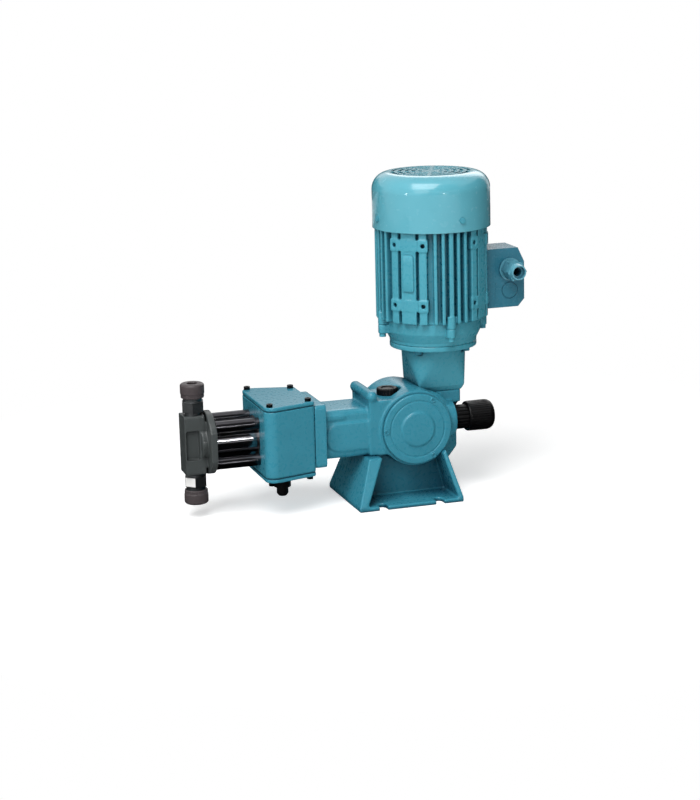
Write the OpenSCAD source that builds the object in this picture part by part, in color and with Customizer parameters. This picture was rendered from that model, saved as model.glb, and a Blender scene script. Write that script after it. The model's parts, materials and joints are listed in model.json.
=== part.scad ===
// Piston metering pump: vertical motor, worm gearbox, spring-return plunger,
// leakage box, tie bars and a pump head with two check valves.
// Millimetres. Origin at the centre of the foot, on the floor. +Z is up, the
// plunger lies along X with the pump head at -X, the side cover faces -Y.

/* [Stand] */
// Length of the foot along the plunger
foot_l = 129; // [122:1:140]
// Width of the foot
foot_w = 123; // [116:1:140]
// Thickness of the foot plate
foot_t = 5; // [4:0.5:8]
// Thickness of the end wall under the neck, at its foot
left_wall = 9; // [7:0.5:11]
// Thickness of that wall at its top
left_wall_top = 16; // [12:1:18]
// Thickness of the end wall on the motor side
right_wall = 5; // [4:0.5:8]
// Thickness of the middle web
foot_web = 24; // [20:1:30]
// Height of the plunger axis above the floor
axis_h = 88; // [86:1:96]
// Distance between the two bolt slots of one edge
slot_pitch = 70; // [60:1:80]
// Radius of a bolt slot's round end
slot_r = 5; // [4:0.5:6]
// Depth of a bolt slot, from the edge to the centre of its round end
slot_reach = 9; // [7:1:12]

/* [Gearbox] */
// Distance from the foot's middle to the wheel axis
gear_x = 16; // [12:1:18]
// Outer radius of the gearbox drum
drum_r = 45; // [44:0.5:48]
// Inner radius of the gearbox drum
drum_in_r = 36; // [36:0.5:36.5]
// Front face of the drum, measured from the plunger plane
drum_front = 34.5; // [33:0.5:37]
// Rear face of the drum, measured from the plunger plane
drum_rear = 50; // [48:1:56]
// Radius of the round side cover
cover_r = 42; // [41.5:0.5:43.5]
// Thickness of the side cover's rim
cover_t = 4.5; // [3:0.5:6]
// Radius of the raised middle of the side cover
cover_boss_r = 19.5; // [16:0.5:24]
// Radius of the circle of side cover screws
cover_screw_pcr = 38.5; // [37:0.5:39]
// Radius of the rear bearing cap
rear_cap_r = 43; // [38:1:44]
// Depth of the rear bearing cap
rear_cap_t = 14; // [8:1:18]
// Outer radius of the worm tower
tower_r = 26.5; // [25:0.5:28]
// Half width of the square top of the worm tower
tower_block = 25.5; // [23:0.5:27]
// Height of the joint between tower and motor adapter
tower_top = 122; // [121:1:128]
// Width of the neck
neck_w = 60; // [54:1:64]
// Height of the neck
neck_h = 58; // [54:2:64]
// Radius of the filler plug
plug_r = 12.5; // [10:0.5:14]
// Height of the filler plug above its boss
plug_h = 8; // [6:1:12]

/* [Gears] */
// Axial module of the worm
worm_module = 2.25; // [2.25:0.05:2.3]
// Starts of the worm
worm_starts = 2; // [2:1:2]
// Pitch diameter of the worm
worm_pitch_d = 22; // [21:0.5:23]
// Teeth of the worm wheel
wheel_teeth = 29; // [28:1:29]
// Face width of the worm wheel
wheel_face = 16; // [12:1:18]
// Sideways distance of the worm and motor axis from the plunger plane
worm_y = 25; // [24:0.5:27]
// Backlash between worm and wheel, taken off the teeth
backlash = 0.5; // [0.4:0.1:0.8]

/* [Stroke] */
// Stroke of the plunger
stroke = 15; // [10:1:15]
// Radius of the plunger
plunger_r = 15; // [13:0.5:15]
// Outer radius of the ring on the eccentric
ecc_ring_r = 20; // [19.5:0.25:20.5]
// Radius of the eccentric shaft in its bearings
shaft_r = 7.5; // [7:0.25:8]
// Turns of the stroke knob over its travel
knob_turns = 10; // [5:1:15]
// Radius of the fluted stroke barrel
barrel_r = 14.6; // [13:0.2:16]
// Radius of the stroke knob
knob_r = 18; // [17:0.5:21]
// Length of the stroke knob
knob_l = 33.7; // [30:0.5:40]

/* [Leakage box] */
// Length of the box along the plunger
box_l = 62.5; // [54:0.5:68]
// Width of the box at the head end
box_w_head = 112; // [100:1:116]
// Width of the box at the gearbox end
box_w_gear = 86; // [84:1:96]
// Height of the box with both lids
box_h = 89; // [86:1:98]
// Thickness of each lid
lid_t = 4; // [3.5:0.5:6]
// Radius of the upright corners at the head end
box_corner = 11; // [8:1:14]
// Radius of the upright corners at the gearbox end
gear_corner = 4; // [3:0.5:8]
// Thickness of the box walls
box_wall = 7; // [5:0.5:9]
// Thickness of the lid gaskets
gasket_t = 1.5; // [0.5:0.25:2]

/* [Pump head] */
// Free length of the tie bars between box and head flange
bar_l = 51.3; // [46:0.1:60]
// Radius of a tie bar
bar_r = 7; // [5:0.5:8]
// Half distance between neighbouring tie bars
bar_off = 21.5; // [20.5:0.5:22.5]
// Outer radius of the plunger cylinder
cyl_r = 20; // [18:0.5:20.5]
// Radius of the round head flange
head_flange_r = 37; // [34:0.5:40]
// Thickness of the head flange
head_flange_t = 8; // [7:0.5:12]
// Thickness of the head body along the plunger
head_l = 24; // [22:0.5:30]
// Height of the head body
head_h = 69.5; // [66:0.5:80]
// Width of the head body
head_w = 28; // [26:0.5:34]
// Radius of a union nut
union_r = 14; // [12:0.5:16]
// Height of a union nut
union_h = 17; // [14:0.5:20]
// Radius of the port bored through a union nut
port_r = 6; // [4:0.5:7]
// Radius of a valve ball
ball_r = 6; // [5:0.25:6.5]
// Lift of a valve ball
ball_lift = 2.5; // [1.5:0.5:3]

/* [Motor] */
// Radius of the fan cowl
cowl_r = 70; // [68:0.5:74]
// Length of the stator housing
stator_l = 111; // [106:1:124]
// Height of the cowl
cowl_h = 64.5; // [58:0.5:72]
// Sheet thickness of the cowl
cowl_t = 1.5; // [1:0.25:2.5]
// Radius of the rounded top edge of the cowl
cowl_round = 20; // [16:1:20]
// Radius of the grille in the cowl's top
grille_r = 47; // [40:1:48]
// Radius of the motor's face flange
flange_r = 52; // [50:0.5:56]
// Height of the motor adapter below the face flange
adapter_h = 52.6; // [50:0.1:56]
// Height of the lower motor shield above the face flange's joint
shield_h = 34.3; // [33:0.1:38]
// Depth of the cooling fins
fin_h = 8.5; // [7:0.5:10]
// Thickness of a cooling fin
fin_t = 3.8; // [2:0.2:4]
// Number of fin places around the motor
fin_count = 44; // [36:4:48]
// Radius of the motor shaft's free end
motor_shaft_r = 7; // [6:0.5:7]
// Reach of the terminal box from the motor axis
tbox_reach = 109.5; // [104:0.5:114]
// Height of the terminal box
tbox_h = 71; // [62:1:76]
// Depth of the terminal box
tbox_d = 42; // [38:1:60]
// Radius of the cable gland's bore
gland_bore_r = 5; // [3:0.5:6]

/* [Fits] */
// Radial gap of a seated round piece
seat_gap = 0.05; // [0.02:0.01:0.1]
// Radial gap of a running fit
run_gap = 0.05; // [0.02:0.01:0.1]
// Gap where a moving piece stops short of its neighbour
stop_gap = 0.3; // [0.2:0.1:0.5]

/* [Colours] */
// Enamel on the castings
paint = "#4A8C9E";
// Dark grey of the pump head
head_grey = "#4E5452";
// Brown-grey of the union nuts
union_grey = "#6A5F60";
// Bright steel
steel = "#C9CCCE";
// Bronze
bronze = "#B98B4E";
// Black plastic
black = "#141414";

/* [Hidden] */
$fn = 48;
eps = 0.01;

// Gear sizes
worm_lead = PI * worm_module * worm_starts;
worm_tip_r = worm_pitch_d / 2 + worm_module;
worm_root_r = worm_pitch_d / 2 - 1.2 * worm_module;
wheel_pitch_r = worm_module * wheel_teeth / 2;
wheel_tip_r = wheel_pitch_r + worm_module;
wheel_root_r = wheel_pitch_r - 1.2 * worm_module;
gear_distance = wheel_pitch_r + worm_pitch_d / 2;
lead_angle = atan(worm_lead / (PI * worm_pitch_d));
worm_l = 36;

// Motor axis
motor_x = gear_x + gear_distance;
motor_y = worm_y;

// Eccentric and crosshead, measured from the wheel axis
ecc = stroke / 2;
ecc_r = shaft_r + 9;
yoke_in_r = ecc_ring_r + ecc + 1;
yoke_out_r = yoke_in_r + 6;
yoke_t = 14;
cross_r = 16;
cross_end = -138;
bush_l = 40;
coupling_l = 18;
coupling_r_out = cross_r + 5;
pocket_gap = 1;
yoke_flat = 31.5;
flat_gap = 0.7;
knob_gap = 0.6;
barrel_spigot = 5;
pocket_wall = 4;
belt_half = 12;

// Places along X, measured from the wheel axis
neck_end = -112.5;
plate_t = 14;
plate_h = 75;
plate_w = 83;
box_gear = neck_end - plate_t;
box_head = box_gear - box_l;
flange_gear = box_head - bar_l;
flange_head = flange_gear - head_flange_t;
head_gap = 2;
body_gear = flange_head - head_gap;
body_head = body_gear - head_l;
valve_x = (body_gear + body_head) / 2 + 1.9;
ridge_x = -53.5;
ridge_r = 6.5;
ridge_z = 42;
knob_boss_r = 22;
knob_boss_end = yoke_out_r + stroke + 7;
barrel_end = knob_boss_end + 25;
knob_start = knob_boss_end + 18;
block_bottom = 12;
block_half = 33;
tower_bottom = -52;
tower_cone = -39;
plug_x = -24;
plug_seat = 36.5;

// Pad under the drum that takes the stand screws, and the screws themselves
pad_x0 = -37;
pad_x1 = 21;
pad_half = 8;
pad_z = 36;
pad_top = 60;
stand_screw_r = 3;
stand_screw_x = [gear_x - 30, gear_x + 14];
stand_screw_head_z = 12;
stand_screw_top = 44;

// Bearings: outer radius and width
shaft_brg_r = 16;
shaft_brg_w = 9;
worm_brg_r = 16;
worm_brg_w = 9;
worm_brg_gap = 4;
worm_shaft_r = 7.5;
motor_brg_r = 16;
motor_brg_w = 10;

// Side cover depths, measured from the plunger plane
cover_gasket_t = 0.5;
cover_back = drum_front + cover_gasket_t;
cover_front = cover_back + cover_t;
cover_raise = 2;
cover_spigot = 4;
cover_screw_r = 1.5;
rear_wall = 38;

// Box heights
box_bottom = 45;
box_top = box_bottom + box_h;
cavity_z0 = box_bottom + lid_t + gasket_t;
cavity_z1 = box_top - lid_t - gasket_t;
lid_screw_in = 6.5;
lid_screw_r = 2.3;
drain_x = box_head + 22.6;
drain_y = -36;

// Packing
packing_r = plunger_r + 6;
packing_wall = 4.5;
stud_r = 3.5;
packing_len = 30;
packing_turns = 4;
ring_len = 5;

// Motor adapter and the coupling in it
flange_z = tower_top + adapter_h;
flange_t = 6.3;
flange_screw_r = 3;
flange_screw_pcr = flange_r - 9.5;
adapter_chamfer = 6;
spigot_h = 3;
adapter_gap = 0.6;
adapter_side = 28.5;
adapter_top_r = 38.5;
coupling_r = 12.5;
coupling_z0 = tower_top + 8;
coupling_z1 = flange_z - 14;
shaft_seat = 12;
shaft_gap = 1.7;

// Heights in the motor, from the adapter's flange upwards
shield_top = flange_z + shield_h;
stator_top = shield_top + stator_l;
cowl_z0 = stator_top - 2;
cowl_top = cowl_z0 + cowl_h;
lug_z0 = shield_top - 16;
lug_z1 = shield_top - 5;
brg_low_z = flange_z + 12.3;
brg_top_z = stator_top + 2;
core_z0 = shield_top + 19;
core_z1 = stator_top - 26;
pad_heights = [shield_top + 23, stator_top - 17];
fan_z = stator_top + 16;
fan_t = 16;

// Radii in the motor
fin_r = cowl_r - 2.5;
shell_r = fin_r - fin_h;
lug_r = shell_r + 4.5;
lug_screw_r = 2.5;
lug_half = 5.2;
core_r = 33;
air_gap = 0.4;
fan_r = cowl_r - 13;
cowl_lip = 13.5;
cowl_shank = 8;
cowl_screw_r = 2;

// Terminal box: its height, its seat on the housing, its seam, and the hole
// for the wires
tbox_z = shield_top + 7.1 + tbox_h / 2;
tbox_seat = shell_r + 3;
tbox_seam = shell_r + 14;
wire_w = 24;
wire_h = 28;
cowl_screw_angles = [-83, 11, 92, 194];
diagonals = [45, 135, 225, 315];
lug_angles = [0, 90, 180, 270];

// Frames of reference

module at_axis() {
    translate([gear_x, 0, axis_h]) children();
}

module at_motor(z = 0) {
    translate([motor_x, motor_y, z]) children();
}

// Round bars along X and Y, from one coordinate to the other

module bar_x(r, x0, x1) {
    translate([x0, 0, 0]) rotate([0, 90, 0]) cylinder(r = r, h = x1 - x0);
}

module bar_y(r, y0, y1) {
    translate([0, y0, 0]) rotate([-90, 0, 0]) cylinder(r = r, h = y1 - y0);
}

module tube(r_out, r_in, h) {
    difference() {
        cylinder(r = r_out, h = h);
        translate([0, 0, -1]) cylinder(r = r_in, h = h + 2);
    }
}

// A socket cap screw with its head on z = 0 and its shank going down
module cap_screw(r, len) {
    difference() {
        union() {
            cylinder(r = r * 1.6, h = r * 1.6);
            translate([0, 0, -len]) cylinder(r = r, h = len + eps);
        }
        translate([0, 0, r * 0.6]) cylinder(r = r * 0.85, h = r * 2, $fn = 6);
    }
}

// A rectangle with round corners, centred
module soft_rect(w, d, r) {
    square([w - 2 * r, d], center = true);
    square([w, d - 2 * r], center = true);
    for (sx = [-1, 1], sy = [-1, 1])
        translate([sx * (w / 2 - r), sy * (d / 2 - r)]) circle(r = r);
}

// The gearbox casting's outside, larger all round by grow
module case_outside(grow = 0) {
    at_axis() {
        bar_y(drum_r + grow, -drum_front, drum_rear);
        translate([ridge_x - 4 - grow, -block_half - grow, -neck_h / 2 - grow])
            cube([ridge_r - ridge_x, 2 * (block_half + grow), neck_h / 2 + plug_seat + grow]);
        translate([pad_x0, -pad_half, -axis_h + pad_z])
            translate([-grow, -grow, -grow])
                cube([pad_x1 - pad_x0 + 2 * grow, 2 * (pad_half + grow), pad_top - pad_z]);
        translate([neck_end, 0, 0]) rotate([90, 0, 90])
            linear_extrude(height = -neck_end)
                soft_rect(neck_w + 2 * grow, neck_h + 2 * grow, 7);
        translate([gear_distance, worm_y, tower_cone - grow])
            cylinder(r = tower_r + grow, h = block_bottom - tower_cone + 2 * grow);
        translate([gear_distance, worm_y, tower_bottom - grow])
            cylinder(r1 = tower_r - 9 + grow, r2 = tower_r + grow, h = tower_cone - tower_bottom);
        bar_x(knob_boss_r + grow, 20, knob_boss_end);
        translate([stroke, 0, 0])
            bar_y(yoke_out_r + pocket_gap + pocket_wall + grow, -belt_half - grow, belt_half + grow);
    }
}

// Foot stand: floor plate, two sloping end walls and a middle web that
// cradle the round gearbox

module end_wall(side, wall, wall_top, top_x, top_z) {
    foot_x = side * (foot_l - wall) / 2;
    hull() {
        translate([foot_x - wall / 2, -foot_w / 2, 0]) cube([wall, foot_w, foot_t]);
        translate([top_x - wall_top / 2, -45, top_z - 1]) cube([wall_top, 90, 1]);
    }
}

module foot_web_outline(left_x, left_z, right_x, right_z) {
    polygon([
        [-foot_l / 2 + left_wall, 0],
        [foot_l / 2 - right_wall, 0],
        [right_x, right_z],
        [left_x, left_z]
    ]);
}

module foot_stand() {
    left_x = gear_x + ridge_x - 1;
    left_z = axis_h - neck_h / 2 - seat_gap;
    right_x = gear_x + 30;
    right_z = axis_h - 26;
    color(paint) difference() {
        union() {
            translate([-foot_l / 2, -foot_w / 2, 0]) cube([foot_l, foot_w, foot_t]);
            end_wall(-1, left_wall, left_wall_top, left_x, left_z);
            end_wall(1, right_wall, right_wall, right_x, right_z);
            translate([0, foot_web / 2, 0]) rotate([90, 0, 0])
                linear_extrude(height = foot_web)
                    foot_web_outline(left_x, left_z, right_x, right_z);
        }
        case_outside(seat_gap);
        at_axis() bar_y(cover_r + stop_gap, -foot_w, -drum_front + eps);
        for (sx = [-1, 1], sy = [-1, 1])
            translate([sx * slot_pitch / 2, sy * foot_w / 2, 0]) foot_slot(-sy);
        for (x = stand_screw_x)
            translate([x, 0, -1]) {
                cylinder(r = stand_screw_r + 0.4, h = axis_h);
                cylinder(r = 2 * stand_screw_r, h = stand_screw_head_z + 1);
            }
    }
}

module foot_slot(inward) {
    translate([0, inward * slot_reach, -1]) cylinder(r = slot_r, h = foot_t + 2);
    translate([-slot_r, inward > 0 ? -1 : -slot_reach, -1])
        cube([2 * slot_r, slot_reach + 1, foot_t + 2]);
}

module stand_screws() {
    color(steel) for (x = stand_screw_x) translate([x, 0, stand_screw_head_z])
        rotate([180, 0, 0]) cap_screw(stand_screw_r, stand_screw_top - stand_screw_head_z);
}

// Gearbox housing: one casting with the drum, the worm tower, the neck and
// its end plate

module housing_solid() {
    case_outside();
    at_axis() {
        translate([neck_end - plate_t, 0, 2.5]) rotate([90, 0, 90])
            linear_extrude(height = plate_t) soft_rect(plate_w, plate_h, 5);
        translate([gear_distance, worm_y, block_bottom])
            linear_extrude(height = tower_top - axis_h - block_bottom)
                soft_rect(2 * tower_block, 2 * tower_block, 4);
        translate([ridge_x, 0, ridge_z]) {
            bar_y(ridge_r, -30, 31);
            for (y = [-30, 31]) translate([0, y, 0]) sphere(r = ridge_r);
        }
        translate([plug_x, 0, 0]) cylinder(r = plug_r + 3.5, h = plug_seat);
        neck_panel();
    }
}

// Raised panel with a round end on both sides of the neck, and a small oval
// pad near the top edge of its front
module neck_panel() {
    half = 17;
    raise = 2;
    end_x = neck_end + 2 + half;
    rotate([90, 0, 0]) linear_extrude(height = neck_w + 2 * raise, center = true) translate([0, -3]) {
        translate([end_x, 0]) circle(r = half);
        translate([end_x, -half]) square([-end_x, 2 * half]);
    }
    translate([-99, -neck_w / 2, 21]) rotate([90, 0, 0]) translate([0, 0, -5])
        linear_extrude(height = 6.5) soft_rect(25.5, 5.4, 2.6);
}

module gearbox_housing() {
    color(paint) difference() {
        housing_solid();
        at_axis() {
            // drum bore, open at the front
            bar_y(drum_in_r, -drum_front - 1, rear_wall);
            // pocket for the crosshead when it is drawn back
            bar_pocket();
            // neck bore and guide bush seat
            bar_x(cross_r + 9, neck_end + bush_l + 2, 0);
            bar_x(cross_r + 5 + seat_gap, neck_end - 1, 0);
            bar_x(coupling_r_out + 1.5, neck_end - plate_t - 1, neck_end);
            // rear shaft bearing
            bar_y(shaft_brg_r + seat_gap, rear_wall - 1, drum_rear + 1);
            // worm chamber and its two bearing seats
            translate([gear_distance, worm_y, -worm_l / 2 - worm_brg_gap])
                cylinder(r = worm_tip_r + 1.5, h = worm_l + 2 * worm_brg_gap);
            translate([gear_distance, worm_y, -worm_l / 2 - worm_brg_gap - worm_brg_w])
                cylinder(r = worm_brg_r + seat_gap, h = worm_brg_w);
            translate([gear_distance, worm_y, worm_l / 2 + worm_brg_gap])
                cylinder(r = worm_brg_r + seat_gap, h = tower_top);
            // stroke barrel thread, and room beside the tower for barrel and knob
            bar_x(barrel_r - 2 + seat_gap, 20, knob_boss_end + 1);
            bar_x(barrel_r + knob_gap, knob_boss_end, 2 * knob_boss_end);
            bar_x(knob_r + knob_gap, knob_start - stroke - knob_gap, 2 * knob_boss_end);
            // side cover screws
            cover_screw_places() bar_y(cover_screw_r + seat_gap, -drum_front - 1, -drum_front + 9);
            // spot face of the rear cap beside the tower
            bar_y(rear_cap_r + 0.5, drum_rear, drum_rear + 10);
            // rear cap screws
            rear_screw_places() bar_y(2.55, drum_rear - 8, drum_rear + 1);
            // filler plug spot face and thread
            translate([plug_x, 0, plug_seat]) cylinder(r = plug_r + 3, h = 30);
            translate([plug_x, 0, 20]) cylinder(r = plug_r - 3 + seat_gap, h = 30);
            // box flange screws
            box_screw_places() bar_x(3.05, neck_end - plate_t - 1, neck_end - 2);
        }
        adapter_relief();
        for (x = stand_screw_x)
            translate([x, 0, 10]) cylinder(r = stand_screw_r + seat_gap, h = stand_screw_top - 9);
    }
}

// Room for the crosshead yoke to move back past the drum's bore
module bar_pocket() {
    half = yoke_t / 2 + pocket_gap;
    translate([stroke, 0, 0]) intersection() {
        bar_y(yoke_out_r + pocket_gap, -half, half);
        cube([200, 200, 2 * (yoke_flat + flat_gap)], center = true);
    }
}

// Space that the foot of the motor adapter takes above the tower's joint
module adapter_relief() {
    half = adapter_side + adapter_gap;
    translate([0, 0, tower_top]) at_motor() translate([-half, -half, 0]) cube([2 * half, 2 * half, 40]);
}

module cover_screw_places() {
    for (a = [60, 180, 300])
        rotate([0, a, 0]) translate([cover_screw_pcr, 0, 0]) children();
}

module rear_screw_places() {
    for (a = [45, 135, 225, 315])
        rotate([0, a, 0]) translate([rear_cap_r - 6, 0, 0]) children();
}

module box_screw_places() {
    for (sy = [-1, 1], sz = [-1, 1])
        translate([0, sy * 21, 2.5 + sz * 27]) children();
}

// Side cover: turned disc with a ring groove and a raised middle, and the
// seat of the front shaft bearing behind it

module side_cover() {
    seat_len = shaft_brg_w + 3;
    color(paint) at_axis() difference() {
        rotate([90, 0, 0]) rotate_extrude() polygon([
            [0, cover_back - 2],
            [shaft_brg_r + seat_gap, cover_back - 2],
            [shaft_brg_r + seat_gap, cover_back - seat_len],
            [shaft_brg_r + 4, cover_back - seat_len],
            [shaft_brg_r + 6, cover_back - 3],
            [drum_in_r - 4, cover_back - 3],
            [drum_in_r - 4, cover_back - cover_spigot],
            [drum_in_r - seat_gap, cover_back - cover_spigot],
            [drum_in_r - seat_gap, cover_back],
            [cover_r, cover_back],
            [cover_r, cover_front - 1],
            [cover_r - 1, cover_front],
            [34, cover_front],
            [33, cover_front - 0.8],
            [32, cover_front],
            [cover_boss_r + 1, cover_front],
            [cover_boss_r, cover_front + cover_raise],
            [0, cover_front + cover_raise]
        ]);
        cover_screw_places() {
            bar_y(cover_screw_r + 0.3, -cover_front - 1, -cover_back + 6);
            bar_y(3.6, -cover_front - 1, -cover_front + 1.4);
        }
    }
}

module side_cover_gasket() {
    color(black) at_axis() difference() {
        bar_y(cover_r - 0.5, -cover_back, -drum_front);
        bar_y(drum_in_r + 0.2, -cover_back - 1, -drum_front + 1);
        cover_screw_places() bar_y(cover_screw_r + 0.3, -cover_back - 1, -drum_front + 1);
    }
}

module side_cover_screws() {
    color(paint) at_axis() cover_screw_places() {
        bar_y(3.3, -cover_front - 0.6, -cover_front + 1.4);
        bar_y(cover_screw_r, -cover_front, -drum_front + 8);
    }
}

module rear_bearing_cap() {
    hollow = 4;
    color(paint) at_axis() difference() {
        translate([0, drum_rear, 0]) rotate([-90, 0, 0]) rotate_extrude() polygon([
            [0, hollow],
            [shaft_r + 3, hollow],
            [shaft_r + 3, 0],
            [rear_cap_r, 0],
            [rear_cap_r, rear_cap_t - 4],
            [rear_cap_r - 4, rear_cap_t],
            [22, rear_cap_t],
            [20, rear_cap_t + 1.5],
            [0, rear_cap_t + 1.5]
        ]);
        rear_screw_places() bar_y(2.7, drum_rear - 1, drum_rear + rear_cap_t + 2);
        translate([-gear_x, 0, -axis_h]) adapter_relief();
    }
}

module rear_cap_screws() {
    color(steel) at_axis() rear_screw_places()
        translate([0, drum_rear + rear_cap_t, 0]) rotate([-90, 0, 0]) cap_screw(2.5, rear_cap_t + 7);
}

module filler_plug() {
    color(black) at_axis() translate([plug_x, 0, plug_seat]) {
        difference() {
            union() {
                cylinder(r = plug_r, h = plug_h - 1);
                cylinder(r1 = plug_r, r2 = plug_r - 1, h = plug_h);
            }
            translate([0, 0, plug_h - 2]) cylinder(r = plug_r - 5, h = 3, $fn = 6);
        }
        translate([0, 0, -4]) cylinder(r = plug_r - 3, h = 4 + eps);
    }
}

// Worm: two-start thread cut on its shaft, standing on the motor axis

module worm_thread() {
    turns = worm_l / worm_lead;
    half_tip = 22;
    half_root = 58;
    section = [for (s = [0 : worm_starts - 1]) for (p = [
        [worm_root_r, -half_root], [worm_tip_r, -half_tip], [worm_tip_r, half_tip], [worm_root_r, half_root]
    ]) let (a = p[1] + s * 360 / worm_starts) [p[0] * cos(a), p[0] * sin(a)]];
    rotate([0, 0, 180 / worm_starts - 180 * turns])
        linear_extrude(height = worm_l, twist = -360 * turns, slices = ceil(turns * 24), segments = 8)
            polygon(section);
}

module worm() {
    color(steel) translate([0, 0, axis_h]) at_motor() {
        translate([0, 0, -worm_l / 2]) worm_thread();
        translate([0, 0, -worm_l / 2 - worm_brg_gap - worm_brg_w])
            cylinder(r = worm_shaft_r, h = worm_brg_w + worm_brg_gap + eps);
        translate([0, 0, worm_l / 2 - eps])
            cylinder(r = worm_shaft_r, h = coupling_z0 - axis_h + shaft_seat - worm_l / 2);
    }
}

module bearing(r_out, r_in, w) {
    difference() {
        cylinder(r = r_out, h = w);
        translate([0, 0, -1]) cylinder(r = r_in, h = w + 2);
        for (z = [-eps, w - 0.8])
            translate([0, 0, z]) tube(r_out - 2.5, r_in + 2.5, 0.8 + eps);
    }
}

module worm_bearings() {
    color(steel) translate([0, 0, axis_h]) at_motor() {
        translate([0, 0, -worm_l / 2 - worm_brg_gap - worm_brg_w])
            bearing(worm_brg_r, worm_shaft_r + run_gap, worm_brg_w);
        translate([0, 0, worm_l / 2 + worm_brg_gap])
            bearing(worm_brg_r, worm_shaft_r + run_gap, worm_brg_w);
    }
}

// Worm wheel: bronze rim with helical teeth that follow the worm's lead

module wheel_outline() {
    pitch = 360 / wheel_teeth;
    tip = pitch * 0.13 - backlash;
    root = pitch * 0.34 - backlash;
    polygon([for (i = [0 : wheel_teeth - 1]) for (p = [
        [wheel_root_r, -root], [wheel_tip_r, -tip], [wheel_tip_r, tip], [wheel_root_r, root]
    ]) let (a = i * pitch + p[1]) [p[0] * cos(a), p[0] * sin(a)]]);
}

module worm_wheel() {
    skew = wheel_face * tan(lead_angle) / wheel_pitch_r * 180 / PI;
    color(bronze) at_axis() translate([0, worm_y + wheel_face / 2, 0]) rotate([90, 0, 0]) difference() {
        union() {
            rotate([0, 0, -skew / 2])
                linear_extrude(height = wheel_face, twist = -skew, slices = 4, segments = 4 * wheel_teeth)
                    wheel_outline();
            translate([0, 0, -2]) cylinder(r = 15, h = wheel_face + 4);
        }
        translate([0, 0, -3]) cylinder(r = shaft_r + seat_gap, h = wheel_face + 6);
        for (z = [-1, wheel_face - 3])
            translate([0, 0, z]) tube(wheel_root_r - 5, 16, 4);
    }
}

// Eccentric shaft and the ring that rolls on its eccentric

module eccentric_shaft() {
    color(steel) at_axis() {
        bar_y(shaft_r, -cover_back + 2 + stop_gap, drum_rear + 3);
        translate([ecc, 0, 0]) bar_y(ecc_r, -yoke_t / 2, yoke_t / 2);
        bar_y(shaft_r + 3, yoke_t / 2, worm_y - wheel_face / 2 - 2);
        bar_y(shaft_r + 3, -yoke_t / 2 - 6, -yoke_t / 2);
    }
}

module eccentric_ring() {
    color(steel) at_axis() translate([ecc, 0, 0]) difference() {
        bar_y(ecc_ring_r, -yoke_t / 2, yoke_t / 2);
        bar_y(ecc_r + run_gap, -yoke_t, yoke_t);
    }
}

module shaft_bearings() {
    color(steel) at_axis() {
        translate([0, -cover_back + 2, 0]) rotate([-90, 0, 0])
            bearing(shaft_brg_r, shaft_r + run_gap, shaft_brg_w);
        translate([0, drum_rear - shaft_brg_w, 0]) rotate([-90, 0, 0])
            bearing(shaft_brg_r, shaft_r + run_gap, shaft_brg_w);
    }
}

// Crosshead: a ring-shaped yoke round the eccentric, on a round rod. It is
// drawn at the forward end of the stroke

module crosshead() {
    color(steel) at_axis() difference() {
        union() {
            intersection() {
                bar_y(yoke_out_r, -yoke_t / 2, yoke_t / 2);
                cube([200, 200, 2 * yoke_flat], center = true);
            }
            bar_x(cross_r, cross_end, -yoke_in_r - 2);
            translate([yoke_out_r - 5, 0, 0]) bar_x(5, 0, 5);
        }
        bar_y(yoke_in_r, -yoke_t, yoke_t);
    }
}

module guide_bush() {
    color(bronze) at_axis() difference() {
        bar_x(cross_r + 5, neck_end, neck_end + bush_l);
        bar_x(cross_r + run_gap, neck_end - 1, neck_end + bush_l + 1);
    }
}

// Return spring: wire wound round the crosshead rod

spring_wire = 1.7;
spring_r = cross_r + 3.2;
spring_turns = 4;
spring_sides = 6;
spring_steps = 14;
spring_x0 = neck_end + bush_l + spring_wire + stop_gap;
spring_x1 = -yoke_out_r - spring_wire - stop_gap;

function spring_ring(i) =
    let (t = i / (spring_turns * spring_steps), a = 360 * spring_turns * t)
    [for (k = [0 : spring_sides - 1])
        let (b = 360 * k / spring_sides, r = spring_r + spring_wire * cos(b))
        [spring_x0 + (spring_x1 - spring_x0) * t + spring_wire * sin(b), r * cos(a), r * sin(a)]];

module return_spring() {
    rings = spring_turns * spring_steps;
    points = [for (i = [0 : rings]) each spring_ring(i)];
    side_faces = [for (i = [0 : rings - 1], k = [0 : spring_sides - 1])
        let (n = (k + 1) % spring_sides)
        [i * spring_sides + k, i * spring_sides + n, (i + 1) * spring_sides + n, (i + 1) * spring_sides + k]];
    start_face = [for (k = [spring_sides - 1 : -1 : 0]) k];
    end_face = [for (k = [0 : spring_sides - 1]) rings * spring_sides + k];
    color(steel) at_axis() polyhedron(points, concat(side_faces, [start_face, end_face]));
}

// Plunger and the clamp that joins it to the crosshead rod

module plunger_coupling() {
    half = coupling_l / 2;
    color(steel) at_axis() translate([cross_end, 0, 0]) difference() {
        bar_x(coupling_r_out, -half, half);
        bar_x(cross_r + seat_gap, -1, half + 1);
        bar_x(plunger_r + seat_gap, -half - 1, 0);
        translate([-half - 1, -1, 0]) cube([coupling_l + 2, 2, coupling_r_out + 1]);
    }
}

module plunger() {
    tip = body_gear - 2;
    end = cross_end - stop_gap;
    color(steel) at_axis() rotate([0, 90, 0]) rotate_extrude()
        polygon([[0, tip], [plunger_r - 1, tip], [plunger_r, tip + 1], [plunger_r, end], [0, end]]);
}

// Leakage box: four upright corners joined by flat walls, narrower at the
// gearbox end, with a lid above and below

corner_radii = [box_corner, gear_corner, gear_corner, box_corner];

function box_corners() =
    let (c = box_corner, g = gear_corner)
    [[gear_x + box_head + c, -box_w_head / 2 + c], [gear_x + box_gear - g, -box_w_gear / 2 + g],
     [gear_x + box_gear - g, box_w_gear / 2 - g], [gear_x + box_head + c, box_w_head / 2 - c]];

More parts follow.
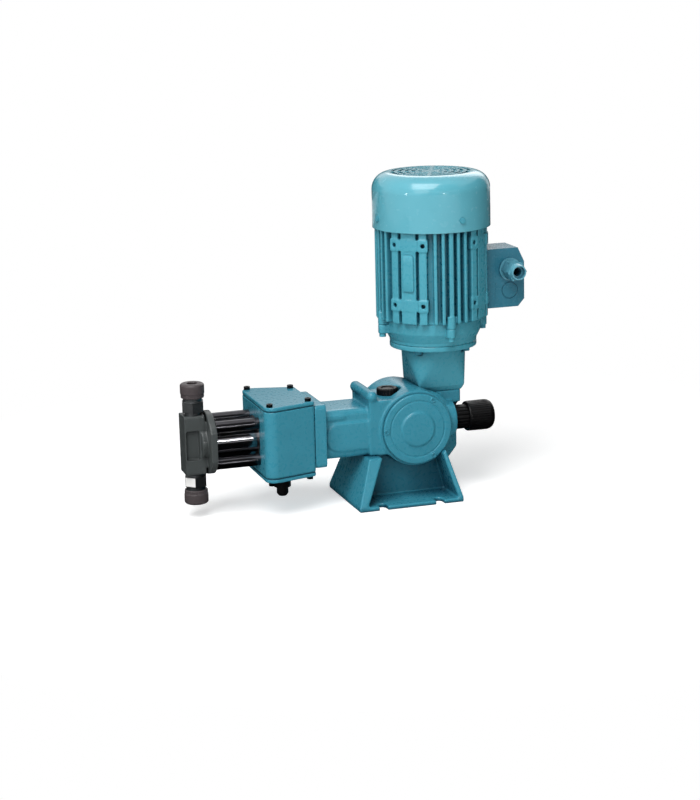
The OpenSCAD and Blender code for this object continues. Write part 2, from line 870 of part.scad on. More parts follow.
// The outer line that touches two corner circles of different radii
function edge_out(a, b, ra, rb) =
    let (d = (b - a) / norm(b - a), lean = (ra - rb) / norm(b - a))
    let (n = [d[1], -d[0]] * sqrt(1 - lean * lean) + d * lean)
    [a + n * ra, b + n * rb];

// Outline of the box, moved inwards by inset; a corner stays at least a
// quarter of a millimetre round
module box_outline(inset = 0) {
    shift = max(0, inset + 0.25 - gear_corner);
    corners = [for (c = box_corners()) c - [c[0] > gear_x + box_gear - 2 * box_corner ? shift : 0, 0]];
    r = [for (c = corner_radii) max(0.25, c - inset)];
    moved = [for (i = [0 : 3])
        corners[i] - [0, r[i] > corner_radii[i] - inset ? sign(corners[i][1]) * shift : 0]];
    polygon([for (i = [0 : 3]) let (k = (i + 1) % 4) each edge_out(moved[i], moved[k], r[i], r[k])]);
    for (i = [0 : 3]) translate(moved[i]) circle(r = r[i]);
}

module box_body() {
    screw_r = lid_screw_r + seat_gap;
    color(paint) difference() {
        union() {
            translate([0, 0, cavity_z0]) linear_extrude(height = cavity_z1 - cavity_z0) difference() {
                box_outline();
                box_outline(box_wall);
            }
            intersection() {
                translate([0, 0, cavity_z0]) linear_extrude(height = cavity_z1 - cavity_z0) box_outline();
                for (p = lid_screw_places())
                    translate([p[0], p[1], cavity_z0]) cylinder(r = 7, h = cavity_z1 - cavity_z0);
            }
        }
        for (p = lid_screw_places())
            translate([p[0], p[1], cavity_z0 - 1]) cylinder(r = screw_r, h = box_h);
        at_axis() {
            bar_x(packing_r + packing_wall + seat_gap, box_head - 1, box_head + box_wall + 1);
            bar_x(coupling_r_out + 1.5, box_gear - box_wall - 1, box_gear + 1);
            bar_places() bar_x(stud_r + seat_gap, box_head - 1, box_head + box_wall + 1);
            box_screw_places() bar_x(3.3, box_gear - box_wall - 1, box_gear + 1);
        }
    }
}

function lid_screw_places() =
    let (corners = box_corners())
    [for (i = [0 : 3])
        let (p = corners[i], out = [p[0] < gear_x + (box_head + box_gear) / 2 ? -1 : 1, sign(p[1])])
        p + out * (corner_radii[i] - lid_screw_in)];

// A lid with its outer edge bevelled, and its screw holes
module box_lid(edge) {
    difference() {
        union() {
            linear_extrude(height = lid_t - edge) box_outline();
            translate([0, 0, lid_t - edge]) linear_extrude(height = edge) box_outline(edge);
        }
        for (p = lid_screw_places())
            translate([p[0], p[1], -1]) cylinder(r = lid_screw_r + 0.3, h = lid_t + 2);
    }
}

module box_top_lid() {
    color(paint) translate([0, 0, box_top - lid_t]) box_lid(0.8);
}

module box_bottom_lid() {
    color(paint) translate([0, 0, box_bottom + lid_t]) mirror([0, 0, 1]) difference() {
        box_lid(0.8);
        translate([gear_x + drain_x, drain_y, -1]) cylinder(r = 6.05, h = lid_t + 2);
    }
}

module box_lid_gaskets() {
    color(black) for (z = [cavity_z0 - gasket_t, cavity_z1])
        translate([0, 0, z]) linear_extrude(height = gasket_t) difference() {
            box_outline(0.5);
            box_outline(box_wall);
            for (p = lid_screw_places()) translate(p) circle(r = lid_screw_r + 0.3);
        }
}

module box_lid_screws() {
    color(paint) for (p = lid_screw_places()) {
        translate([p[0], p[1], box_top]) cap_screw(lid_screw_r, lid_t + 12);
        translate([p[0], p[1], box_bottom]) mirror([0, 0, 1]) cap_screw(lid_screw_r, lid_t + 12);
    }
}

module box_flange_screws() {
    color(steel) at_axis() box_screw_places()
        translate([box_gear - box_wall, 0, 0]) rotate([0, -90, 0]) cap_screw(3, box_wall + 10);
}

module box_drain_plug() {
    color(black) translate([gear_x + drain_x, drain_y, box_bottom]) {
        translate([0, 0, -9]) cylinder(r = 10, h = 9);
        translate([0, 0, -17]) cylinder(r = 6.8, h = 8 + eps);
        translate([0, 0, -20]) cylinder(r1 = 4.5, r2 = 6.8, h = 3 + eps);
        cylinder(r = 6, h = lid_t);
    }
}

// Stuffing box at the head end of the leakage box

module packing_housing() {
    x0 = box_head;
    color(steel) at_axis() difference() {
        union() {
            bar_x(packing_r + packing_wall, x0, x0 + packing_len + 2);
            bar_x(packing_r + packing_wall + 3, x0 + box_wall, x0 + box_wall + 4);
        }
        bar_x(packing_r, x0 + 4, x0 + packing_len + 3);
        bar_x(plunger_r + 0.5, x0 - 1, x0 + 5);
    }
}

module packing_rings() {
    x0 = box_head + 4;
    color(black) at_axis() for (i = [0 : packing_turns - 1]) difference() {
        bar_x(packing_r - seat_gap, x0 + i * ring_len, x0 + (i + 1) * ring_len - 0.2);
        bar_x(plunger_r + run_gap, x0 - 1, x0 + packing_turns * ring_len + 1);
    }
}

module packing_gland() {
    x0 = box_head + 4 + packing_turns * ring_len;
    color(bronze) at_axis() difference() {
        union() {
            bar_x(packing_r - seat_gap, x0, box_head + packing_len + 2);
            bar_x(packing_r + packing_wall, box_head + packing_len + 2, box_head + packing_len + 7);
        }
        bar_x(plunger_r + run_gap * 2, x0 - 1, box_head + packing_len + 8);
    }
}

module plunger_cylinder() {
    color(steel) at_axis() difference() {
        bar_x(cyl_r, flange_gear - 4, box_head);
        bar_x(plunger_r + 0.5, flange_gear - 5, box_head + 1);
    }
}

module bar_places() {
    for (sy = [-1, 1], sz = [-1, 1])
        translate([0, sy * bar_off, sz * bar_off]) children();
}

module tie_bars() {
    color(steel) at_axis() bar_places() {
        bar_x(bar_r, flange_gear, box_head);
        bar_x(stud_r, box_head - eps, box_head + box_wall);
        bar_x(stud_r, flange_gear - head_flange_t + 2, flange_gear + eps);
    }
}

// Pump head: upright body with a pocket in each side, a round hub and the
// flange that the tie bars hold

module pump_head() {
    hub_r = 21;
    flat = 33;
    arm_top = 27;
    pocket_l = 15;
    pocket_h = 2 * (valve_bore_z - 0.5);
    pocket_t = 4;
    color(head_grey) at_axis() difference() {
        union() {
            translate([body_head, 0, 0]) rotate([90, 0, 90])
                linear_extrude(height = head_l) soft_rect(head_w, head_h, 2);
            bar_x(hub_r, body_gear - 5, flange_head + eps);
            // two arms carry the body on the flange, above and below the hub
            translate([body_gear - 5, -head_w / 2, -arm_top]) cube([head_gap + 5 + eps, head_w, 2 * arm_top]);
            intersection() {
                bar_x(head_flange_r, flange_head, flange_gear);
                translate([flange_head - 1, -flat, -2 * flat]) cube([head_flange_t + 2, 2 * flat, 4 * flat]);
            }
        }
        // pockets in the two sides
        for (s = [-1, 1])
            translate([body_head + 2, s * head_w / 2 - pocket_t, -pocket_h / 2])
                cube([pocket_l, 2 * pocket_t, pocket_h]);
        // plunger chamber, the passage from it, and the cylinder's seat
        bar_x(plunger_r + 0.5, body_gear - 4, flange_gear + 1);
        bar_x(6, valve_x, body_gear - 3);
        bar_x(cyl_r + seat_gap, flange_gear - 4, flange_gear + 1);
        bar_places() bar_x(stud_r + seat_gap, flange_gear - head_flange_t + 2 - eps, flange_gear + 1);
        // valve bores, above and below, and the passage between them
        translate([valve_x, 0, -head_h]) cylinder(r = 4, h = 2 * head_h);
        for (s = [0, 1]) mirror([0, 0, s])
            translate([valve_x, 0, valve_bore_z]) cylinder(r = valve_plug_r + seat_gap, h = 20);
    }
}

// Check valves. The body is a bored plug with a hexagon, screwed into the head

seat_t = 3;
seat_hole_r = 4;
valve_plug_r = 9.5;
hex_h = 12;
hex_turn = 16.5;
neck_r = 11;
neck_l = 10;
nut_gap = 4;
// Height of a ball's centre above the edge it sits on, and the room it needs
ball_sit = sqrt(ball_r * ball_r - seat_hole_r * seat_hole_r);
ball_room_r = ball_r + 1;
ball_room_h = 2 * ball_sit + ball_lift + seat_gap + stop_gap;
// Bottom of a valve's bore in the head, and where the valve body ends in it
valve_bore_z = head_h / 2 - 17;
valve_z0 = valve_bore_z + seat_t;
hex_z0 = head_h / 2 + 3.5;
nut_z0 = hex_z0 + hex_h + nut_gap;

// A round hole with a cross of slots, so that liquid passes the lifted ball
module slotted_hole(h) {
    cylinder(r = seat_hole_r, h = h);
    for (a = [0, 90]) rotate([0, 0, a])
        translate([-ball_room_r, -1.2, 0]) cube([2 * ball_room_r, 2.4, min(h, 3)]);
}

module valve_body(room_h) {
    difference() {
        union() {
            translate([0, 0, valve_z0]) cylinder(r = valve_plug_r, h = hex_z0 - valve_z0 + eps);
            translate([0, 0, hex_z0]) rotate([0, 0, hex_turn]) cylinder(r = 14, h = hex_h, $fn = 6);
            translate([0, 0, hex_z0 + hex_h - eps]) cylinder(r = neck_r, h = neck_l);
        }
        translate([0, 0, valve_z0 - 1]) cylinder(r = ball_room_r, h = room_h + 1);
        translate([0, 0, valve_z0]) cylinder(r = seat_hole_r, h = 60);
        children();
    }
}

module suction_valve_body() {
    color(head_grey) at_axis() translate([valve_x, 0, 0]) mirror([0, 0, 1])
        valve_body(ball_room_h + seat_t);
}

module discharge_valve_body() {
    color(head_grey) at_axis() translate([valve_x, 0, 0]) valve_body(ball_room_h)
        translate([0, 0, valve_z0 + ball_room_h - eps]) slotted_hole(3);
}

module valve_seats() {
    color(steel) at_axis() translate([valve_x, 0, 0]) {
        translate([0, 0, valve_bore_z]) tube(valve_plug_r - seat_gap, seat_hole_r, seat_t);
        translate([0, 0, -valve_z0 - ball_room_h - seat_t])
            tube(ball_room_r - seat_gap, seat_hole_r, seat_t);
        // stop above the suction ball
        translate([0, 0, -valve_z0]) difference() {
            cylinder(r = valve_plug_r - seat_gap, h = seat_t);
            translate([0, 0, -eps]) slotted_hole(seat_t + 1);
        }
    }
}

module suction_ball() {
    color(steel) at_axis() translate([valve_x, 0, -valve_z0 - ball_room_h + ball_sit + seat_gap])
        sphere(r = ball_r);
}

module discharge_ball() {
    color(steel) at_axis() translate([valve_x, 0, valve_z0 + ball_sit + seat_gap]) sphere(r = ball_r);
}

module union_nuts() {
    overlap = neck_l - nut_gap;
    color(union_grey) at_axis() translate([valve_x, 0, 0])
        for (s = [0, 1]) mirror([0, 0, s]) translate([0, 0, nut_z0]) difference() {
            union() {
                cylinder(r = union_r, h = union_h - 1.5);
                cylinder(r1 = union_r, r2 = union_r - 1.5, h = union_h);
            }
            translate([0, 0, -1]) cylinder(r = neck_r + seat_gap, h = overlap + 1);
            cylinder(r = port_r, h = union_h + 1);
        }
}

// Stroke setting: fluted barrel on the gearbox, knob over it, spindle inside

module stroke_barrel() {
    flutes = 24;
    color(black) at_axis() difference() {
        union() {
            bar_x(barrel_r, knob_boss_end, barrel_end);
            bar_x(barrel_r - 2, knob_boss_end - barrel_spigot, knob_boss_end + eps);
        }
        bar_x(5 + run_gap, knob_boss_end - barrel_spigot - 1, barrel_end + 1);
        for (i = [0 : flutes - 1]) rotate([360 * i / flutes, 0, 0])
            translate([0, barrel_r + 0.5, 0]) bar_x(0.9, knob_boss_end + 2, barrel_end + 1);
    }
}

module stroke_spindle() {
    tip = yoke_out_r + stroke + stop_gap;
    color(steel) at_axis() bar_x(5, tip, knob_start + 25);
}

module stroke_knob() {
    flutes = 30;
    end = knob_start + knob_l;
    color(black) at_axis() difference() {
        rotate([0, 90, 0]) rotate_extrude() {
            translate([0, knob_start]) square([knob_r - 1, knob_l - 8]);
            translate([0, knob_start + 1]) square([knob_r, knob_l - 9]);
            translate([knob_r - 8, end - 8]) circle(r = 8);
            translate([0, knob_start + 1]) square([knob_r - 8, knob_l - 1]);
        }
        bar_x(barrel_r + 0.4, knob_start - 1, knob_start + 24);
        bar_x(5 + seat_gap, knob_start + 23, knob_start + 25 + seat_gap);
    }
}

// Motor adapter: square below, round above, with a top flange

module motor_adapter() {
    color(paint) at_motor() difference() {
        union() {
            hull() {
                translate([0, 0, tower_top])
                    linear_extrude(height = 0.1) square(2 * tower_block, center = true);
                translate([0, 0, tower_top + adapter_chamfer])
                    linear_extrude(height = 1) square(2 * adapter_side, center = true);
                translate([0, 0, flange_z - 1]) cylinder(r = adapter_top_r, h = 1 + eps, $fn = 48);
            }
            translate([0, 0, tower_top - spigot_h]) cylinder(r = worm_brg_r, h = spigot_h + eps);
            translate([0, 0, flange_z]) cylinder(r = flange_r, h = flange_t - 1);
            translate([0, 0, flange_z]) cylinder(r = flange_r - 1, h = flange_t);
        }
        translate([0, 0, tower_top - spigot_h - 1]) cylinder(r = coupling_r + 0.5, h = 70);
        for (a = diagonals) rotate([0, 0, a]) translate([flange_screw_pcr, 0, flange_z]) {
            translate([0, 0, -1]) cylinder(r = flange_screw_r + 0.1, h = 20);
            translate([0, 0, -7]) cylinder(r = 2 * flange_screw_r, h = 7);
        }
    }
}

module adapter_screws() {
    color(steel) at_motor() for (a = diagonals) rotate([0, 0, a])
        translate([flange_screw_pcr, 0, flange_z]) mirror([0, 0, 1]) cap_screw(flange_screw_r, flange_t + 9);
}

module shaft_coupling() {
    z0 = coupling_z0;
    color(steel) at_motor(z0) difference() {
        cylinder(r = coupling_r, h = coupling_z1 - z0);
        translate([0, 0, -1]) cylinder(r = worm_shaft_r + seat_gap, h = shaft_seat + 1 + seat_gap);
        translate([0, 0, shaft_seat]) cylinder(r = motor_shaft_r + seat_gap, h = adapter_h);
    }
}

// Motor: shields, finned housing, wound core, rotor, fan and cowl

module motor_lug(z0, z1) {
    linear_extrude(height = z1 - z0) {
        translate([lug_r, 0]) circle(r = lug_half);
        translate([lug_r - 12, -lug_half]) square([12, 2 * lug_half]);
    }
}

module drive_end_shield() {
    z0 = flange_z + flange_t;
    color(paint) at_motor() difference() {
        union() {
            translate([0, 0, z0]) cylinder(r = flange_r, h = 5);
            translate([0, 0, z0 + 5]) cylinder(r1 = flange_r + 1, r2 = shell_r - 1, h = 10);
            translate([0, 0, z0 + 15]) cylinder(r = shell_r - 1, h = shield_top - z0 - 15);
            for (a = lug_angles) rotate([0, 0, a]) translate([0, 0, lug_z0]) motor_lug(lug_z0, lug_z1);
        }
        translate([0, 0, brg_low_z]) cylinder(r = motor_brg_r + seat_gap, h = motor_brg_w);
        translate([0, 0, brg_low_z + motor_brg_w - eps]) cylinder(r = core_r + 14, h = 40);
        translate([0, 0, z0 - 1]) cylinder(r = motor_shaft_r + 1.5, h = 30);
        for (a = diagonals) rotate([0, 0, a])
            translate([flange_screw_pcr, 0, z0 - 1]) cylinder(r = flange_screw_r + seat_gap, h = 10);
        for (a = lug_angles) rotate([0, 0, a])
            translate([lug_r, 0, lug_z0 - 1]) cylinder(r = lug_screw_r + 0.2, h = 30);
    }
}

module shield_screws() {
    color(steel) at_motor() for (a = lug_angles) rotate([0, 0, a])
        translate([lug_r, 0, lug_z0]) mirror([0, 0, 1]) cap_screw(lug_screw_r, lug_z1 - lug_z0 + 9);
}

// True where a fin place is free of foot pads, bolt ribs and the terminal box
function fin_free(a) =
    let (d = a % 90, near_pad = abs(d - 45) < 25, near_rib = d < 6 || d > 84)
    !near_pad && !near_rib && !(a < 30 || a > 330);

module fin(z0, z1) {
    translate([shell_r - 2, -fin_t / 2, z0]) cube([fin_h + 2, fin_t, z1 - z0]);
}

// Half the angle between the two pads of a pair
pad_turn = 16;
pad_rib = 9;
panel_w = 19;

module foot_pad(z) {
    for (s = [-1, 1]) rotate([0, 0, s * pad_turn])
        translate([shell_r - 3, -6, z - 7]) cube([fin_h + 2.5, 12, 14]);
    rotate([0, 0, -pad_turn]) rotate_extrude(angle = 2 * pad_turn)
        translate([shell_r - 3, z - 6.5]) square([fin_h + 1, 13]);
}

// Flat panel between two ribs that carry the foot pads
module pad_panel(z0, z1) {
    translate([shell_r - 3, -panel_w / 2, z0]) cube([fin_h + 0.5, panel_w, z1 - z0]);
    for (s = [-1, 1]) rotate([0, 0, s * pad_turn])
        translate([shell_r - 3, -pad_rib / 2, z0]) cube([fin_h + 1.5, pad_rib, z1 - z0]);
}

module stator_housing() {
    lug_boss = 15;
    z0 = shield_top;
    z1 = stator_top;
    color(paint) at_motor() difference() {
        union() {
            translate([0, 0, z0]) cylinder(r = shell_r, h = z1 - z0);
            for (i = [0 : fin_count - 1]) {
                a = 360 * i / fin_count;
                if (fin_free(a)) rotate([0, 0, a]) fin(z0 + 1, z1 - 1);
            }
            for (a = diagonals) rotate([0, 0, a]) {
                pad_panel(z0 + 1, z1 - 1);
                for (z = pad_heights) foot_pad(z);
            }
            for (a = lug_angles) rotate([0, 0, a]) {
                // the terminal box takes the place of the rib above its lug
                boss_h = a == 0 ? tbox_z - tbox_h / 2 - lug_z1 - 1 : lug_boss;
                translate([0, 0, lug_z1]) motor_lug(lug_z1, lug_z1 + boss_h);
                if (a != 0)
                    translate([shell_r - 2, -2.5, lug_z1 + lug_boss - 2])
                        cube([fin_h + 2, 5, z1 - lug_z1 - lug_boss + 1]);
            }
            translate([shell_r - 8, -tbox_d / 2, tbox_z - tbox_h / 2])
                cube([tbox_seat - shell_r + 8, tbox_d, tbox_h]);
        }
        translate([0, 0, z0 - 10]) cylinder(r = shell_r - 5, h = z1 - z0 + 20);
        translate([0, 0, lug_z1 - 1]) cylinder(r = shell_r - 0.9, h = z0 - lug_z1 + 1);
        for (a = lug_angles) rotate([0, 0, a])
            translate([lug_r, 0, lug_z1 - 1]) cylinder(r = lug_screw_r + seat_gap, h = 11);
        for (a = diagonals, s = [-pad_turn, pad_turn], z = pad_heights) rotate([0, 0, a + s])
            translate([shell_r, 0, z]) bar_x(2.6, 0, 20);
        translate([shell_r - 10, -wire_w / 2, tbox_z - wire_h / 2]) cube([40, wire_w, wire_h]);
    }
}

module stator_core() {
    winding = 13;
    color(bronze) at_motor() difference() {
        union() {
            translate([0, 0, core_z0]) cylinder(r = shell_r - 5 - seat_gap, h = core_z1 - core_z0);
            translate([0, 0, core_z0 - winding]) tube(shell_r - 12, core_r + 3, winding + eps);
            translate([0, 0, core_z1 - eps]) tube(shell_r - 12, core_r + 3, winding);
        }
        translate([0, 0, core_z0 - 1]) cylinder(r = core_r + air_gap, h = core_z1 - core_z0 + 2);
    }
}

module rotor_shaft() {
    color(steel) at_motor() {
        shaft_low = coupling_z0 + shaft_seat + shaft_gap;
        translate([0, 0, shaft_low]) cylinder(r = motor_shaft_r, h = brg_low_z + motor_brg_w + 1 - shaft_low);
        translate([0, 0, brg_low_z + motor_brg_w]) cylinder(r = 10, h = brg_top_z - brg_low_z - motor_brg_w);
        translate([0, 0, brg_top_z - 2 * eps]) cylinder(r = motor_shaft_r, h = fan_z + fan_t - brg_top_z);
    }
}

module rotor_core() {
    color(steel) at_motor(core_z0) difference() {
        union() {
            cylinder(r = core_r, h = core_z1 - core_z0);
            translate([0, 0, -8]) tube(core_r - 3, core_r - 11, core_z1 - core_z0 + 16);
        }
        translate([0, 0, -10]) cylinder(r = 10 + seat_gap, h = 100);
    }
}

module motor_bearings() {
    color(steel) at_motor() for (z = [brg_low_z, brg_top_z])
        translate([0, 0, z]) bearing(motor_brg_r, motor_shaft_r + run_gap, motor_brg_w);
}

module fan_end_shield() {
    lug_reach = cowl_r - cowl_t - stop_gap - shell_r + 6;
    color(paint) at_motor(stator_top) difference() {
        union() {
            cylinder(r = shell_r, h = 5);
            cylinder(r1 = 30, r2 = 26, h = 14);
            for (a = cowl_screw_angles) rotate([0, 0, a - 90])
                translate([shell_r - 6, -5, 0]) cube([lug_reach, 10, cowl_lip + 1]);
        }
        translate([0, 0, brg_top_z - stator_top]) cylinder(r = motor_brg_r + seat_gap, h = motor_brg_w);
        translate([0, 0, -1]) cylinder(r = 12, h = 20);
        for (a = cowl_screw_angles) rotate([0, 0, a - 90])
            translate([0, 0, cowl_lip - 2]) bar_x(cowl_screw_r + seat_gap, shell_r - 4, cowl_r);
    }
}

module fan() {
    blades = 7;
    color(black) at_motor(fan_z) difference() {
        union() {
            cylinder(r = 14, h = fan_t);
            cylinder(r = fan_r - 6, h = 2);
            for (i = [0 : blades - 1]) rotate([0, 0, 360 * i / blades])
                translate([10, -1, 1]) cube([fan_r - 10, 2, fan_t - 2]);
        }
        translate([0, 0, -1]) cylinder(r = motor_shaft_r + seat_gap, h = fan_t + 2);
    }
}

// Fan cowl: drawn steel cup with a grille of concentric slots in its top

module fan_cowl() {
    slot_w = 4;
    slot_rings = [for (i = [0 : 4]) grille_r - slot_w / 2 - 8 * i];
    spokes = 8;
    color(paint) at_motor() difference() {
        rotate_extrude() difference() {
            cowl_profile(0);
            cowl_profile(cowl_t);
        }
        difference() {
            for (r = slot_rings) translate([0, 0, cowl_top - 8]) tube(r + slot_w / 2, r - slot_w / 2, 20);
            for (i = [0 : spokes - 1]) rotate([0, 0, 360 * (i + 0.5) / spokes])
                translate([0, -2, cowl_top - 20]) cube([cowl_r, 4, 40]);
        }
        for (a = cowl_screw_angles) rotate([0, 0, a - 90])
            translate([cowl_r - 5, 0, cowl_z0 + cowl_lip]) bar_x(cowl_screw_r + 0.2, 0, 10);
    }
}

// Half section of the cowl's cup, shrunk by inset
module cowl_profile(inset) {
    r = cowl_r - inset;
    top = cowl_top - inset;
    round = cowl_round - inset;
    translate([0, cowl_z0 - (inset > 0 ? 1 : 0)])
        square([r, cowl_top - cowl_z0 - cowl_round + (inset > 0 ? 1 : 0)]);
    square_top = top - (cowl_top - cowl_round);
    translate([0, cowl_top - cowl_round - eps]) square([r - round, square_top + eps]);
    intersection() {
        translate([r - round, cowl_top - cowl_round]) circle(r = round, $fn = 96);
        translate([r - round - eps, cowl_top - cowl_round - eps]) square(2 * round);
    }
}

module cowl_screws() {
    color(steel) at_motor(cowl_z0 + cowl_lip) for (a = cowl_screw_angles) rotate([0, 0, a - 90]) {
        bar_x(1.8 * cowl_screw_r, cowl_r, cowl_r + 1.6);
        bar_x(cowl_screw_r, cowl_r - cowl_shank, cowl_r + eps);
    }
}

// Terminal box: base on the stator housing, chamfered cover, board inside

module terminal_box_base() {
    wall = 3;
    color(paint) at_motor(tbox_z) difference() {
        translate([tbox_seat, -tbox_d / 2, -tbox_h / 2]) cube([tbox_seam - tbox_seat, tbox_d, tbox_h]);
        translate([tbox_seat - 1, -wire_w / 2, -wire_h / 2]) cube([20, wire_w, wire_h]);
        translate([tbox_seat + 4, wall - tbox_d / 2, wall - tbox_h / 2])
            cube([20, tbox_d - 2 * wall, tbox_h - 2 * wall]);
    }
}

module tbox_outline(inset) {
    x1 = tbox_reach - inset;
    z1 = tbox_h / 2 - inset;
    polygon([
        [tbox_seam, -z1], [x1 - 8, -z1], [x1, -z1 + 9],
        [x1, z1 - 17], [x1 - 8, z1], [tbox_seam, z1]
    ]);
}

module terminal_box_cover() {
    wall = 3;
    color(paint) at_motor(tbox_z) difference() {
        rotate([90, 0, 0]) translate([0, 0, -tbox_d / 2]) linear_extrude(height = tbox_d) tbox_outline(0);
        rotate([90, 0, 0]) translate([0, 0, -tbox_d / 2 + wall]) linear_extrude(height = tbox_d - 2 * wall)
            union() {
                tbox_outline(wall);
                translate([tbox_seam - 1, -tbox_h / 2 + wall]) square([2, tbox_h - 2 * wall]);
            }
        gland_place() bar_y(gland_r - 1 + seat_gap, -6, 6);
        // a knock-out beside the gland, marked by a round groove
        gland_place() translate([0, 0.6, -25.7]) rotate([90, 0, 0]) tube(10.2, 9.5, 2);
    }
}

gland_r = 8;

module gland_place() {
    translate([tbox_seam + 17.7, -tbox_d / 2, 10.5]) children();
}

module terminal_board() {
    color(bronze) at_motor(tbox_z) {
        translate([tbox_seam - 7, -14, -20]) cube([4, 28, 40]);
        for (y = [-8, 0, 8], z = [-10, 10])
            translate([tbox_seam - 3 - eps, y, z]) rotate([0, 90, 0]) cylinder(r = 2, h = 10);
    }
}

module cable_gland() {
    color(paint) at_motor(tbox_z) gland_place() difference() {
        union() {
            bar_y(gland_r - 1, -1, 5);
            bar_y(13.5, -3, 0);
            translate([0, -2.9, 0]) rotate([90, 0, 0]) cylinder(r = 12, h = 10, $fn = 6);
            bar_y(10.3, -17, -12);
            translate([0, -15, 0]) rotate([90, 0, 0]) cylinder(r = 12, h = 10, $fn = 6);
            translate([0, -24.9, 0]) rotate([90, 0, 0]) cylinder(r1 = 10.3, r2 = 8.8, h = 6.1);
        }
        bar_y(gland_bore_r, -32, 6);
        bar_y(gland_bore_r + 2.5, -32, -25);
    }
}

foot_stand();
stand_screws();
gearbox_housing();
side_cover();
side_cover_gasket();
side_cover_screws();
rear_bearing_cap();
rear_cap_screws();
filler_plug();
worm();
worm_bearings();
worm_wheel();
eccentric_shaft();
eccentric_ring();
shaft_bearings();
crosshead();
guide_bush();
return_spring();
plunger_coupling();
plunger();
box_body();
box_top_lid();
box_bottom_lid();
box_lid_gaskets();
box_lid_screws();
box_flange_screws();
box_drain_plug();
packing_housing();
packing_rings();
packing_gland();
plunger_cylinder();
tie_bars();
pump_head();
suction_valve_body();
discharge_valve_body();
valve_seats();
suction_ball();
discharge_ball();
union_nuts();
stroke_barrel();
stroke_spindle();
stroke_knob();
motor_adapter();
adapter_screws();
shaft_coupling();
drive_end_shield();
shield_screws();
stator_housing();
stator_core();
rotor_shaft();
rotor_core();
motor_bearings();
fan();
fan_end_shield();
fan_cowl();
cowl_screws();
terminal_box_base();
terminal_box_cover();
terminal_board();
cable_gland();
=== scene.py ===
import json
import math

import bmesh
import bpy
import numpy as np
from mathutils import Matrix, Vector


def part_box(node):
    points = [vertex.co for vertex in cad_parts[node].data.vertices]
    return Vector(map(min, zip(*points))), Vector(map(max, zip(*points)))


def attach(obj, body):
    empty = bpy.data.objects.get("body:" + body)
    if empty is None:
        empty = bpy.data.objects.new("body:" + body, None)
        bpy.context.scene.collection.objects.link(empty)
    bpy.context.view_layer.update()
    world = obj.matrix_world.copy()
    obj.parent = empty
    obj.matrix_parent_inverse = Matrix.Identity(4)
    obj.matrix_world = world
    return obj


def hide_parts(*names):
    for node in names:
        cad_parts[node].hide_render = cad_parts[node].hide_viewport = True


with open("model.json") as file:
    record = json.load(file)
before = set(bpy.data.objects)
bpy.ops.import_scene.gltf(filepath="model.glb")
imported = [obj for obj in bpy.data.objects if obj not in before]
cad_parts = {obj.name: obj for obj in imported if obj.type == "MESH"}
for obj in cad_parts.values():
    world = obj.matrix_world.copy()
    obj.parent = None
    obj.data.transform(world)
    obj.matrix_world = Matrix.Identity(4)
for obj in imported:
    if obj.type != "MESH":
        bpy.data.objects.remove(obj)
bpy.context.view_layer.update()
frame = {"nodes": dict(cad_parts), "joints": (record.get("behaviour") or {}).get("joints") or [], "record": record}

# Camera
# It stands in front of the pump and to its left, a little above the motor, with
# a long lens. The photograph leans by a degree and a half, and so does this.
camera_place = Vector((-0.7830, -2.3092, 0.6879))
camera_heading = math.radians(17.51)
camera_dip = math.radians(13.17)
camera_lean = math.radians(1.40)
camera_lens = 94.96

ahead = Vector((
    math.sin(camera_heading) * math.cos(camera_dip),
    math.cos(camera_heading) * math.cos(camera_dip),
    -math.sin(camera_dip),
))
level = Vector((math.cos(camera_heading), -math.sin(camera_heading), 0))
above = level.cross(ahead)
across = level * math.cos(camera_lean) - above * math.sin(camera_lean)
upright = above * math.cos(camera_lean) + level * math.sin(camera_lean)
camera_data = bpy.data.cameras.new("camera")
camera_data.lens = camera_lens
camera_data.sensor_width = 36
camera_data.clip_start = 0.05
camera = bpy.data.objects.new("camera", camera_data)
camera.matrix_world = Matrix((
    (across.x, upright.x, -ahead.x, camera_place.x),
    (across.y, upright.y, -ahead.y, camera_place.y),
    (across.z, upright.z, -ahead.z, camera_place.z),
    (0, 0, 0, 1),
))
bpy.context.scene.collection.objects.link(camera)
bpy.context.scene.camera = camera
bpy.context.scene.view_settings.view_transform = "Standard"

# Castings of the gearbox: foot stand and gearbox housing
# Sand-cast iron under gloss petrol-blue enamel. A casting has no sharp edge, so
# each is a copy of its solid, remeshed and relaxed until its edges are round.
MM = 0.001


def linear(code):
    """An sRGB hex colour as linear red, green, blue and alpha: up to 0.04045 the value over 12.92, and above
    that ((value + 0.055) / 1.055) to the power 2.4."""
    rgb = np.array([int(code[i:i + 2], 16) for i in (1, 3, 5)]) / 255
    low = rgb / 12.92
    high = ((rgb + 0.055) / 1.055) ** 2.4
    return (*np.where(rgb <= 0.04045, low, high), 1.0)


def add(tree, kind, links=None, **settings):
    """Adds one shader node. links gives each input either a value or the output that feeds it."""
    made = tree.nodes.new(kind)
    for key, value in settings.items():
        setattr(made, key, value)
    for socket, source in (links or {}).items():
        if isinstance(source, bpy.types.NodeSocket):
            tree.links.new(source, made.inputs[socket])
        else:
            made.inputs[socket].default_value = source
    return made


def new_material(name):
    """An empty node material and its tree."""
    material = bpy.data.materials.new(name)
    material.use_nodes = True
    material.node_tree.nodes.clear()
    return material, material.node_tree


def finish_material(tree, shader):
    """Leads the shader to the material's surface."""
    add(tree, "ShaderNodeOutputMaterial", {"Surface": shader.outputs[0]})


def per_mm(size):
    """The scale that gives a noise features of this size in millimetres."""
    return 1 / (size * MM)


